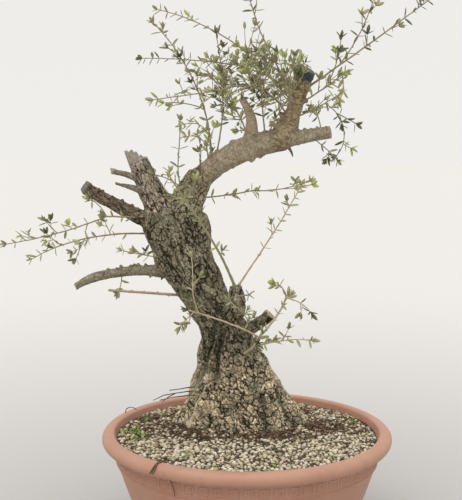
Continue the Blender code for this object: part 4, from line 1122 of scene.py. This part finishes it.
def innerRadius(height):
    # the bowl's inner radius at the gravel's edge
    rimFoot = bowl["height"] - bowl["rimHeight"]
    low = wallRadius(rimFoot - bowl["groove"]) - bowl["wall"]
    high = bowl["radius"] - bowl["rimWidth"]
    return low + (high - low) * (height - rimFoot) / (bowl["height"] - bowl["lip"] - rimFoot)


def soilMesh():
    # the gravel's top, rising from the wall to the trunk, with a flat underside deep in the bowl
    _, x, y, width, depth = (value * mm for value in trunkSections[1])
    sides = soil["sides"]
    edge = innerRadius(soil["atWall"]) - soil["gap"]
    rings = []
    for height in (soil["atWall"] - depth for depth in soil["depths"]):
        inner = wallRadius(height) - bowl["wall"] - soil["gap"]
        rings.append([(inner * math.cos(angle), inner * math.sin(angle), height) for angle in turns(sides)])
    for i in range(soil["rings"] + 1):
        share = i / soil["rings"]
        ring = []
        for angle in turns(sides):
            out = Vector((math.cos(angle), math.sin(angle)))
            seat = Vector((x + width * soil["underTrunk"] * out.x, y + depth * soil["underTrunk"] * out.y))
            place = (out * edge).lerp(seat, share)
            height = soil["atWall"] + (soil["seat"] - soil["atWall"]) * math.sin(share * math.pi / 2)
            lump = noise.noise(Vector((place.x * 22, place.y * 22, 0.5)))
            height += soil["lumps"] * lump * min(1, 8 * share)
            ring.append((place.x, place.y, height - soil["sink"]))
        rings.append(ring)
    bm = bmesh.new()
    closeRings(bm, rings)
    return toMesh(bm, "soil")


weedSpots = (   # x, y and spread of each patch of seedlings, in millimetres
    (-183, -3, 15), (-168, -29, 12), (-176, 20, 9), (-163, 65, 9), (-88, -126, 7), (-69, 120, 6),
    (172, 53, 8), (37, -157, 5), (123, -121, 5), (90, 150, 9), (-30, 168, 8),
)
litterPatch = {"reach": 1.95, "fade": 0.60, "start": 0.9, "cover": 0.78}    # in widths of the trunk's foot


def clamp(value):
    return max(0.0, min(1.0, value))


def markSoil(mesh):
    # where grains may lie, and where litter and weeds gather
    _, x, y, width, depth = trunkSections[1]
    marks = {"bed": [], "litter": [], "weeds": []}
    for vert in mesh.vertices:
        spot = vert.co
        away = math.hypot((spot.x / mm - x) / width, (spot.y / mm - y) / depth)
        edge = innerRadius(soil["atWall"]) - soil["margin"]
        onTop = spot.z > soil["atWall"] - 6 * mm and math.hypot(spot.x, spot.y) < edge
        patch = 0.85 + 1.2 * noise.noise(spot * 26) + 0.6 * noise.noise(spot * 90)
        brown = clamp((litterPatch["reach"] - away) / litterPatch["fade"]) * clamp(patch)
        inBed = onTop and away > litterPatch["start"]
        near = max(math.exp(-((spot.x / mm - u) ** 2 + (spot.y / mm - v) ** 2) / reach ** 2)
                   for u, v, reach in weedSpots)
        marks["bed"].append(1.0 - litterPatch["cover"] * brown if inBed else 0.0)
        marks["litter"].append(brown if inBed else 0.0)
        marks["weeds"].append(near if onTop and near > 0.2 else 0.0)
    for name, values in marks.items():
        setAttribute(mesh, name, "FLOAT", values)
    return mesh


def newMaterial(name, colour, roughness):
    made = bpy.data.materials.new(name)
    made.use_nodes = True
    shader = made.node_tree.nodes["Principled BSDF"]
    shader.inputs["Base Color"].default_value = (*colour, 1.0)
    shader.inputs["Roughness"].default_value = roughness
    return made, made.node_tree, shader


def addBump(tree, shader, height, strength, distance):
    bump = addNode(tree, "ShaderNodeBump", {"Height": height, "Strength": strength, "Distance": distance})
    tree.links.new(bump.outputs[0], shader.inputs["Normal"])


def mixColour(tree, share, first, second, blend="MIX"):
    first, second = ((*value, 1.0) if isinstance(value, tuple) else value for value in (first, second))
    return addNode(tree, "ShaderNodeMix", {0: share, 6: first, 7: second}, data_type="RGBA",
                   blend_type=blend).outputs[2]


def setColour(tree, shader, colour):
    tree.links.new(colour, shader.inputs["Base Color"])


def objectPlace(tree):
    return addNode(tree, "ShaderNodeTexCoord").outputs["Object"]


barkFinish = {  # colours and sizes, then each ramp's limits and results
    # crack is the near-black painted shade laid in the cracks
    "crack": (0.022, 0.016, 0.006), "pale": (1.88, 1.87, 1.85), "dim": (0.44, 0.41, 0.35),
    "moss": (0.100, 0.118, 0.062), "blush": (1.06, 0.95, 0.92), "patchScale": 34, "fleckScale": 300,
    "crackWidth": 0.118, "fineWidth": 0.085, "roughness": 0.92, "gritScale": 650.0, "gloss": 0.25,
    "rough": (0.0003, 0.0012), "fleck": (0.32, 0.68), "plateTone": (0.0, 1.0, 0.74, 1.34),
    "blushPatch": (0.50, 0.66, 0.0, 0.9), "mossPatch": (0.48, 0.70, 0.0, 0.6),
    "openCracks": (0.36, 0.64, 0.40, 1.20), "fineCracks": (0.38, 0.60, 0.35, 0.95),
    "deepCracks": (0.0002, 0.0009, 0.16, 0.95), "bump": (0.6, 1.4 * mm),
}


def barkMaterial():
    # plates and cracks follow the wood's own grain, the cracks painted near black as shade; moss only lies
    # on rough bark
    look = barkFinish
    made, tree, shader = newMaterial("olive bark", (0.3, 0.25, 0.18), look["roughness"])
    shader.inputs["Specular IOR Level"].default_value = look["gloss"]
    place = objectPlace(tree)
    tint, grain, relief = (addNode(tree, "ShaderNodeAttribute", attribute_name=name).outputs[kind]
                           for name, kind in (("tint", "Color"), ("grain", "Vector"), ("relief", "Fac")))
    edge, tone, where, fine = platePattern(tree, grain, barkPattern["Warp"])

    def onRough(level, least):
        # a multiplier that fades on smooth bark
        share = ramp(tree, rough, 0.0, 1.0, least, 1.0)
        return mixColour(tree, share, (1.0, 1.0, 1.0), level)

    patch = noiseOf(tree, place, look["patchScale"], 3.0)
    other = noiseOf(tree, place, look["patchScale"] * 0.6, 2.0, Distortion=0.6)
    fleck = noiseOf(tree, place, look["fleckScale"], 4.0)
    rough = ramp(tree, relief, *look["rough"])
    level = mixColour(tree, ramp(tree, fleck, *look["fleck"]), look["dim"], look["pale"])
    colour = mixColour(tree, 1.0, tint, onRough(level, 0.25), "MULTIPLY")
    shade = ramp(tree, tone, *look["plateTone"])
    level = addNode(tree, "ShaderNodeCombineColor", {0: shade, 1: shade, 2: shade}).outputs[0]
    colour = mixColour(tree, 1.0, colour, onRough(level, 0.2), "MULTIPLY")
    blush = product(tree, ramp(tree, other, *look["blushPatch"]), ramp(tree, rough, 0.0, 1.0, 1.0, 0.6))
    colour = mixColour(tree, blush, colour, mixColour(tree, 1.0, colour, look["blush"], "MULTIPLY"))
    green = product(tree, ramp(tree, patch, *look["mossPatch"]), rough)
    colour = mixColour(tree, green, colour, look["moss"])
    # painted shade: the cracks are coloured near black, fading out where the bark's relief is shallow
    wide = softRamp(tree, where, *look["openCracks"])
    dark = softRamp(tree, edge, product(tree, wide, look["crackWidth"] * 0.35),
                    product(tree, wide, look["crackWidth"]), 1.0, 0.0)
    thin = softRamp(tree, fine, 0.0, look["fineWidth"], softRamp(tree, where, *look["fineCracks"]), 0.0)
    dark = product(tree, mathNode(tree, "MAXIMUM", dark, thin), ramp(tree, relief, *look["deepCracks"]))
    setColour(tree, shader, mixColour(tree, dark, colour, look["crack"]))
    addBump(tree, shader, noiseOf(tree, place, look["gritScale"], 5.0, Roughness=0.7), *look["bump"])
    return made


potFinish = {   # colours, then each ramp's limits and results
    "plain": (0.50, 0.255, 0.17), "body": (0.46, 0.232, 0.152), "chalk": (0.56, 0.345, 0.26),
    "streak": (0.36, 0.17, 0.11), "dirt": (0.20, 0.11, 0.07), "roughness": 0.52,
    "chalky": (0.35, 0.72, 0.0, 0.55), "streaky": (0.5, 0.8, 0.0, 0.22), "dirty": (0.68, 0.78, 0.0, 0.5),
    "wear": (0.3, 0.7, 0.42, 0.62), "cloudScale": 16.0, "streakScale": (90.0, 90.0, 5.0),
    "speckScale": 260.0, "bump": (0.12, 0.6 * mm),
}


def potMaterial():
    look = potFinish
    made, tree, shader = newMaterial("terracotta plastic", look["plain"], look["roughness"])
    place = objectPlace(tree)
    cloud = noiseOf(tree, place, look["cloudScale"], 6.0, Roughness=0.6)
    colour = mixColour(tree, ramp(tree, cloud, *look["chalky"]), look["body"], look["chalk"])
    flat = addNode(tree, "ShaderNodeMapping", {"Vector": place, "Scale": look["streakScale"]}).outputs[0]
    streak = ramp(tree, noiseOf(tree, flat, 1.0, 3.0), *look["streaky"])
    colour = mixColour(tree, streak, colour, look["streak"])
    speck = noiseOf(tree, place, look["speckScale"], 2.0)
    setColour(tree, shader, mixColour(tree, ramp(tree, speck, *look["dirty"]), colour, look["dirt"]))
    tree.links.new(ramp(tree, cloud, *look["wear"]), shader.inputs["Roughness"])
    addBump(tree, shader, speck, *look["bump"])
    return made


def markTops(mesh):
    # how far each face looks up, from -1 to 1
    normals = np.empty(len(mesh.polygons) * 3, np.float32)
    mesh.polygons.foreach_get("normal", normals)
    made = mesh.attributes.new("up", "FLOAT", "FACE")
    made.data.foreach_set("value", np.ascontiguousarray(normals.reshape(-1, 3)[:, 2]))
    return mesh


grainFinish = {
    # under is how dark the painted shade makes faces that look down; tops is where it fades to the plain
    # colour
    "under": 0.30, "roughness": 0.95, "tops": (-0.1, 0.8), "pitScale": 900.0, "bump": (0.5, 0.8 * mm),
}


def grainMaterial(name, colour):
    # porous pumice: one colour, with painted shade darkening faces that look down or sideways, pitted by a
    # fine bump
    made, tree, shader = newMaterial(name, colour, grainFinish["roughness"])
    up = addNode(tree, "ShaderNodeAttribute", attribute_name="up").outputs["Fac"]
    paintedShade = tuple(grainFinish["under"] * value for value in colour)
    setColour(tree, shader, mixColour(tree, ramp(tree, up, *grainFinish["tops"]), paintedShade, colour))
    pits = noiseOf(tree, objectPlace(tree), grainFinish["pitScale"], 3.0)
    addBump(tree, shader, pits, *grainFinish["bump"])
    return made


loose = {   # shape, mask, (spacing, smallest, largest, sink) in millimetres, tilt, seed, and the lots:
            # each lot's piece, its share and its colour
    "pumice": ("chunk", "bed", (5.5, 5.4, 9.8, 2.6), 1.5, 4, (
        ("gravel_pale", 0.36, (0.74, 0.650, 0.490)), ("gravel_cream", 0.28, (0.60, 0.510, 0.360)),
        ("gravel_tan", 0.14, (0.38, 0.300, 0.195)), ("gravel_greenish", 0.07, (0.46, 0.440, 0.260)),
        ("gravel_dark", 0.07, (0.10, 0.085, 0.060)), ("gravel_white", 0.08, (0.78, 0.740, 0.660)))),
    "fines": ("chunk", "bed", (4.8, 2.2, 4.6, 2.4), 1.5, 5, (
        ("gravel_fines", 1.0, (0.145, 0.100, 0.052)),)),
    "chips": ("chunk", "bed", (4.8, 2.2, 4.6, 2.4), 1.5, 6, (
        ("gravel_chips", 1.0, (0.37, 0.295, 0.185)),)),
    "litter": ("chunk", "litter", (2.0, 1.6, 4.6, 0.0), 1.5, 21, (
        ("litter_dark", 0.5, (0.030, 0.018, 0.009)), ("litter_red", 0.5, (0.165, 0.098, 0.052)))),
    "scraps": ("scrap", "litter", (3.2, 5.0, 12.0, -4.5), 0.4, 9, (
        ("dry_leaves", 1.0, (0.25, 0.155, 0.090)),)),
    "sprouts": ("sprout", "weeds", (1.7, 3.0, 5.5, -6.0), 0.9, 31, (
        ("seedlings_light", 0.6, (0.30, 0.42, 0.06)), ("seedlings_deep", 0.4, (0.17, 0.26, 0.045)))),
}
looseFinish = {"soil": (0.052, 0.035, 0.018), "scrap": 0.85, "sprout": 0.6}     # the soil's colour, its own dark colour deepened as painted shade in the gaps between grains, then two roughnesses
leafLots = {    # share of the sprays and colour of each kind of leaf
    "dark": (0.20, (0.140, 0.145, 0.058)), "olive": (0.34, (0.310, 0.310, 0.140)),
    "light": (0.30, (0.430, 0.425, 0.205)), "young": (0.16, (0.470, 0.510, 0.185)),
}
shootLots = {   # colour of the shoots of some masses, and of all the others
    "pale": ((0.50, 0.415, 0.285),
             ("east_fork_spray", "east_low_spray", "east_diagonal_whip", "shoulder_sprig")),
    "green": ((0.30, 0.285, 0.160), ("front_whip", "crotch_upright", "crotch_side_sprig")),
    "brown": ((0.30, 0.255, 0.160), ()),
}
crownFinish = {"shoots": 0.75, "leaves": 0.48, "deadWood": 0.9}      # roughness


def shadeOf(spray):
    # which kind of leaf a spray's own number falls in
    reach = 0.0
    for index, (share, _) in enumerate(leafLots.values()):
        reach += share
        if spray < reach:
            return index
    return len(leafLots) - 1


def cutOut(mesh, owner, chosen, low=-1.0, high=1.0):
    # the part of the wood whose faces belong to some limbs and lie in a band of heights, closed where cut
    count = len(mesh.polygons)
    corners = np.empty(count * 4, np.int32)
    mesh.loops.foreach_get("vertex_index", corners)
    corners = corners.reshape(-1, 4)
    heights = np.empty(count * 3, np.float32)
    mesh.polygons.foreach_get("center", heights)
    heights = heights.reshape(-1, 3)[:, 2]
    own = np.isin(owner[corners[:, 0]], chosen) & (heights > low) & (heights <= high)
    bm = bmesh.new()
    bm.from_mesh(mesh)
    bm.faces.ensure_lookup_table()
    bmesh.ops.delete(bm, geom=[bm.faces[i] for i in np.flatnonzero(~own)], context="FACES")
    caps = bmesh.ops.holes_fill(bm, edges=[edge for edge in bm.edges if edge.is_boundary])["faces"]
    for face in caps:
        face.smooth = True
        for edge in face.edges:
            edge.smooth = False
    bmesh.ops.triangulate(bm, faces=caps)
    return toMesh(bm, mesh.name)


slotOf = {
    "flaked": "old_bark", "weathered": "old_bark", "leader": "old_bark", "brown": "old_bark",
    "bough": "smooth_bark", "stub": "smooth_bark", "grey": "smooth_bark", "bare": "dead_wood",
}


def buildWood(lines):
    mesh = weldWood(lines)
    owner = markWood(mesh, lines)
    print("wood grid:", len(mesh.polygons), "faces")
    bark = barkMaterial()
    mesh = runTree(mesh, barkTree(), {**barkPattern, "Material": bark})
    mesh.shade_smooth()
    numbers = {limb.name: i for i, limb in enumerate(limbs, 1)}
    trunk = [0, numbers["shoulder"]]
    halfway = 300 * mm
    addPiece("trunk_foot", cutOut(mesh, owner, trunk, high=halfway), bark, "old_bark", "trunk")
    addPiece("trunk_top", cutOut(mesh, owner, trunk, low=halfway), bark, "old_bark", "trunk")
    for slot in ("old_bark", "smooth_bark", "dead_wood"):
        names = [limb.name for limb in limbs[1:] if slotOf[limb.bark] == slot]
        piece = cutOut(mesh, owner, [numbers[name] for name in names])
        addPiece("limbs_" + slot, piece, bark, slot, *names)


def buildCrown(lines):
    # every mass's twigs and leaves, joined by kind
    bm = bmesh.new()
    addTrunk(bm)
    for limb in limbs:
        addLimb(bm, limb, lines[limb.name])
    wood = BVHTree.FromBMesh(bm)
    bm.free()
    twigs, leaves = {}, []
    for name, shoots in masses.items():
        mass = Shoots(name, shoots, lines, wood)
        mass.branch()
        mass.thicken()
        mass.leaf()
        twigs[name] = mass.twigs
        leaves += mass.leaves
    print("crown:", sum(len(own) for own in twigs.values()), "twigs and", len(leaves), "leaves")
    names = list(masses)
    tree = twigTree()
    for kind, (colour, own) in shootLots.items():
        own = own or [name for name in names if not any(name in lot[1] for lot in shootLots.values())]
        material = newMaterial(kind + " shoots", colour, crownFinish["shoots"])[0]
        chains = twigMesh([twig for name in own for twig in twigs[name]])
        mesh = runTree(chains, tree, {"Sides": twigSkin["sides"], "Material": material})
        addPiece("shoots_" + kind, mesh, material, "foliage", *own)
    blades = shelf("olive leaves", [leafMesh("leaf " + str(i), width, droop)
                                    for i, (width, droop) in enumerate(leafShape["kinds"])])
    points = leafPoints(leaves)
    tree = leafTree()
    for index, (kind, (_, colour)) in enumerate(leafLots.items()):
        material = newMaterial(kind + " leaves", colour, crownFinish["leaves"])[0]
        mesh = runTree(points, tree, {"Leaves": blades, "Shade": index, "Material": material})
        addPiece("leaves_" + kind, mesh, material, "foliage", *names)


def buildPot():
    plastic = potMaterial()
    addPiece("bowl", bowlMesh(), plastic, "pot_plastic", "pot")
    bandMiddle = bowl["height"] - bowl["rimHeight"] - bowl["groove"] - bowl["bandHeight"] / 2
    panels = runTree(bpy.data.meshes.new("blank"), panelTree(), {
        "Panel": shelf("band panel", [panelMesh()]), "Radius": bowl["bandRadius"] - bandPanel["inset"],
        "Count": bandPanel["count"], "Height": bandMiddle, "Material": plastic})
    addPiece("band_panels", panels, plastic, "pot_plastic")


def buildGravel():
    ground = markSoil(soilMesh())
    shapes = {
        "chunk": shelf("chunks", [chunkMesh("grain " + str(i), i) for i in range(4)]),
        "scrap": shelf("scraps", [leafMesh("scrap " + str(i), 0.22 + 0.2 * i, 0.1) for i in range(4)]),
        "sprout": shelf("sprouts", [leafMesh("sprout " + str(i), 1.6 + 0.3 * i, -0.15) for i in range(4)]),
    }
    tree = scatterTree()
    for shape, mask, sizes, tilt, seed, lots in loose.values():
        spacing, smallest, largest, sink = (size * mm for size in sizes)
        reach = 0.0
        for name, share, colour in lots:
            label = name.replace("_", " ")
            if shape == "chunk":
                material = grainMaterial(label, colour)
            else:
                material = newMaterial(label, colour, looseFinish[shape])[0]
            mesh = runTree(ground, tree, {
                "Shapes": shapes[shape], "Mask": mask, "Spacing": spacing, "Smallest": smallest,
                "Largest": largest, "Sink": sink, "Tilt": tilt, "Seed": seed, "From": reach,
                "To": reach + share, "Material": material})
            reach += share
            addPiece(name, markTops(mesh) if shape == "chunk" else mesh, material, "gravel")
    # the soil under the grains is near black: its own dark colour and painted shade in the gaps between
    # grains
    addPiece("soil", markTops(ground), grainMaterial("soil dust", looseFinish["soil"]), "gravel", "gravel")


looseTwigs = {  # by kind and colour: thickness, then the points in millimetres
    "dead_twigs": ((0.115, 0.078, 0.048), (
        (1.3, (-78, 30, 247), (-89, 20, 249), (-104, 0, 251), (-119, -20, 254)),
        (1.2, (-78, 20, 243), (-89, 10, 245), (-110, -10, 247), (-127, -30, 249), (-142, -50, 246)),
        (1.0, (-80, 8, 239), (-92, 0, 241), (-115, -20, 243), (-133, -40, 244)),
        (0.9, (-110, -10, 247), (-121, -14, 242), (-131, -22, 236)),
        (0.8, (-199, 82, 191), (-199, 99, 192), (-195, 108, 192), (-188, 107, 192), (-182, 99, 190)),
        (2.0, (-119, -166, 189), (-124, -173, 191.5), (-129, -180, 190), (-133, -182.5, 184),
         (-137, -181, 177)),
        (1.0, (-122, -170, 191), (-128, -180, 191), (-129, -185, 185), (-134, -184, 177)),
        (0.7, (-108, -196.5, 172), (-108, -177, 163), (-105, -176, 156), (-103.5, -177.5, 150),
         (-103, -177.5, 143)))),
    "snags": ((0.30, 0.26, 0.20), (
        (1.7, (-20, -16, 399), (-6, -20, 402), (3, -28, 404), (7, -36, 409), (11, -38, 411)),
        (1.1, (3, -28, 404), (-2, -31, 412)), (1.0, (3, -28, 404), (10, -32, 399)),
        (1.0, (2, -27, 404), (0, -32, 395)),
        (0.9, (-24, -6, 368), (-10, -26, 374), (-2, -38, 378), (4, -42, 382), (10, -42, 382),
         (13, -40, 377), (10, -30, 371), (0, -16, 362)),
        (2.1, (73, 4, 690), (69, -14, 696), (64, -22, 712), (57, -26, 732)))),
}
woundSeal = {
    "reach": 15 * mm, "proud": 0.9 * mm, "sides": 28, "rings": 10, "lumps": 0.07, "size": 6,
    "dish": ((0.86, 1.6), (0.62, 0.9), (0.36, 0.2), (0.12, -0.4)),      # a raised rim round a dished middle
    "plain": (0.035, 0.042, 0.05), "dark": (0.022, 0.026, 0.030), "dusty": (0.11, 0.125, 0.14),
    "dust": (0.45, 0.7), "dustScale": 160.0, "roughness": 0.55, "bump": (0.6, 2 * mm),
}


def sealMesh(limb, line):
    # the seal over the wide stub's wound: it wraps the end of the limb and follows its slant
    rings, sides, lumps, size = (woundSeal[key] for key in ("rings", "sides", "lumps", "size"))
    start = 1 - woundSeal["reach"] / (limb.length * mm)
    shares = [start + (1 - start) * i / rings for i in range(rings + 1)]
    loops = []
    for i, (share, frame) in enumerate(zip(shares, ringFrames(line, shares))):
        radius = between(limb.radii, share) * mm + woundSeal["proud"] * min(1, i / 2)
        slant = limb.slant * max(0, (share - start) / (1 - start)) ** 2
        loops.append([point + frame[3] * radius * slant * out.x
                      for point, out in lumpyRing(frame, radius, sides, lumps, size, 1.6)])
    rim = loops[-1]
    end = sum(rim, Vector()) / len(rim)
    way = ringFrames(line, (1.0,))[0][3]
    for shrink, lift in woundSeal["dish"]:
        loops.append([end + (point - end) * shrink + way * lift * mm for point in rim])
    bm = bmesh.new()
    closeRings(bm, loops)
    bmesh.ops.recalc_face_normals(bm, faces=bm.faces)
    mesh = toMesh(bm, "wound_seal")
    mesh.shade_smooth()
    return mesh


def buildExtras(lines):
    # dead twigs, a stick over the rim, and the black seal
    for name, (colour, paths) in looseTwigs.items():
        twigs = [([Vector(point) * mm for point in points], thick, thick * 0.6, 0, False, i / 13)
                 for i, (thick, *points) in enumerate(paths)]
        material = newMaterial(name, colour, crownFinish["deadWood"])[0]
        mesh = runTree(twigMesh(twigs), twigTree(), {"Sides": twigSkin["sides"], "Material": material})
        addPiece(name, mesh, material, "dead_wood")
    limb = next(limb for limb in limbs if limb.name == "top_stub")
    paste, tree, shader = newMaterial("wound seal", woundSeal["plain"], woundSeal["roughness"])
    cloud = noiseOf(tree, objectPlace(tree), woundSeal["dustScale"], 4.0)
    dust = ramp(tree, cloud, *woundSeal["dust"])
    setColour(tree, shader, mixColour(tree, dust, woundSeal["dark"], woundSeal["dusty"]))
    addBump(tree, shader, cloud, *woundSeal["bump"])
    addPiece("wound_seal", sealMesh(limb, lines["top_stub"]), paste, "smooth_bark")


camera = {"place": (-0.024569, -1.5, 0.634386), "pitch": 83.7174, "lens": 70.713, "sensor": 36}
studio = {  # the wall of light, low and high; the floor, far and near, darker near the pot as painted shade; and where each fades
    "low": (0.87, 0.855, 0.835), "high": (0.85, 0.83, 0.80), "floor": (0.70, 0.69, 0.675),
    "near": (0.44, 0.434, 0.425), "floorFade": (0.2, 3.4), "wallFade": (0.0, 0.35),
    "lamp": (1.0, 0.99, 0.975), "floorSize": 30, "drop": 0.5 * mm,
}
studioLights = (    # name, bearing and rise of where it comes from, spread in degrees, and power
    ("key", -115, 58, 45, 0.9), ("top", 60, 80, 60, 0.5),
)


def buildStudio():
    scene = bpy.context.scene
    eye = bpy.data.cameras.new("camera")
    eye.lens = camera["lens"]
    eye.sensor_width = camera["sensor"]
    holder = bpy.data.objects.new("camera", eye)
    holder.location = camera["place"]
    holder.rotation_euler = (math.radians(camera["pitch"]), 0, 0)
    scene.collection.objects.link(holder)
    scene.camera = holder
    floor = bpy.data.meshes.new("floor")
    wide = studio["floorSize"]
    floor.from_pydata([(-wide, -wide, 0), (wide, -wide, 0), (wide, wide, 0), (-wide, wide, 0)], [],
                      [(0, 1, 2, 3)])
    paint, tree, shader = newMaterial("pale floor", studio["floor"], 0.9)
    # painted shade: the floor darkens towards the pot, a soft pool of shadow painted round it
    away = addNode(tree, "ShaderNodeVectorMath", {0: objectPlace(tree)}, operation="LENGTH")
    fade = ramp(tree, away.outputs["Value"], *studio["floorFade"], interpolation_type="SMOOTHERSTEP")
    share = mathNode(tree, "POWER", fade, 0.3)
    setColour(tree, shader, mixColour(tree, share, studio["near"], studio["floor"]))
    floor.materials.append(paint)
    piece = bpy.data.objects.new("floor", floor)
    piece.location.z = -studio["drop"]
    scene.collection.objects.link(piece)
    for name, bearing, rise, spread, power in studioLights:
        lamp = bpy.data.lights.new(name, "SUN")
        lamp.angle = math.radians(spread)
        lamp.energy = power
        lamp.color = studio["lamp"]
        post = bpy.data.objects.new(name, lamp)
        post.rotation_euler = (-heading(bearing, rise)).to_track_quat("-Z", "Y").to_euler()
        scene.collection.objects.link(post)
    world = bpy.data.worlds.new("soft studio")
    world.use_nodes = True
    tree = world.node_tree
    way = addNode(tree, "ShaderNodeTexCoord").outputs["Generated"]
    rise = addNode(tree, "ShaderNodeSeparateXYZ", {0: way}).outputs[2]
    colour = mixColour(tree, ramp(tree, rise, *studio["wallFade"]), studio["low"], studio["high"])
    tree.links.new(colour, tree.nodes["Background"].inputs["Color"])
    scene.world = world
    scene.view_settings.view_transform = "Standard"


buildStudio()
lines = limbLines()
buildWood(lines)
print("bark done")
buildCrown(lines)
print("crown done")
buildPot()
buildGravel()
buildExtras(lines)
print("gravel done")
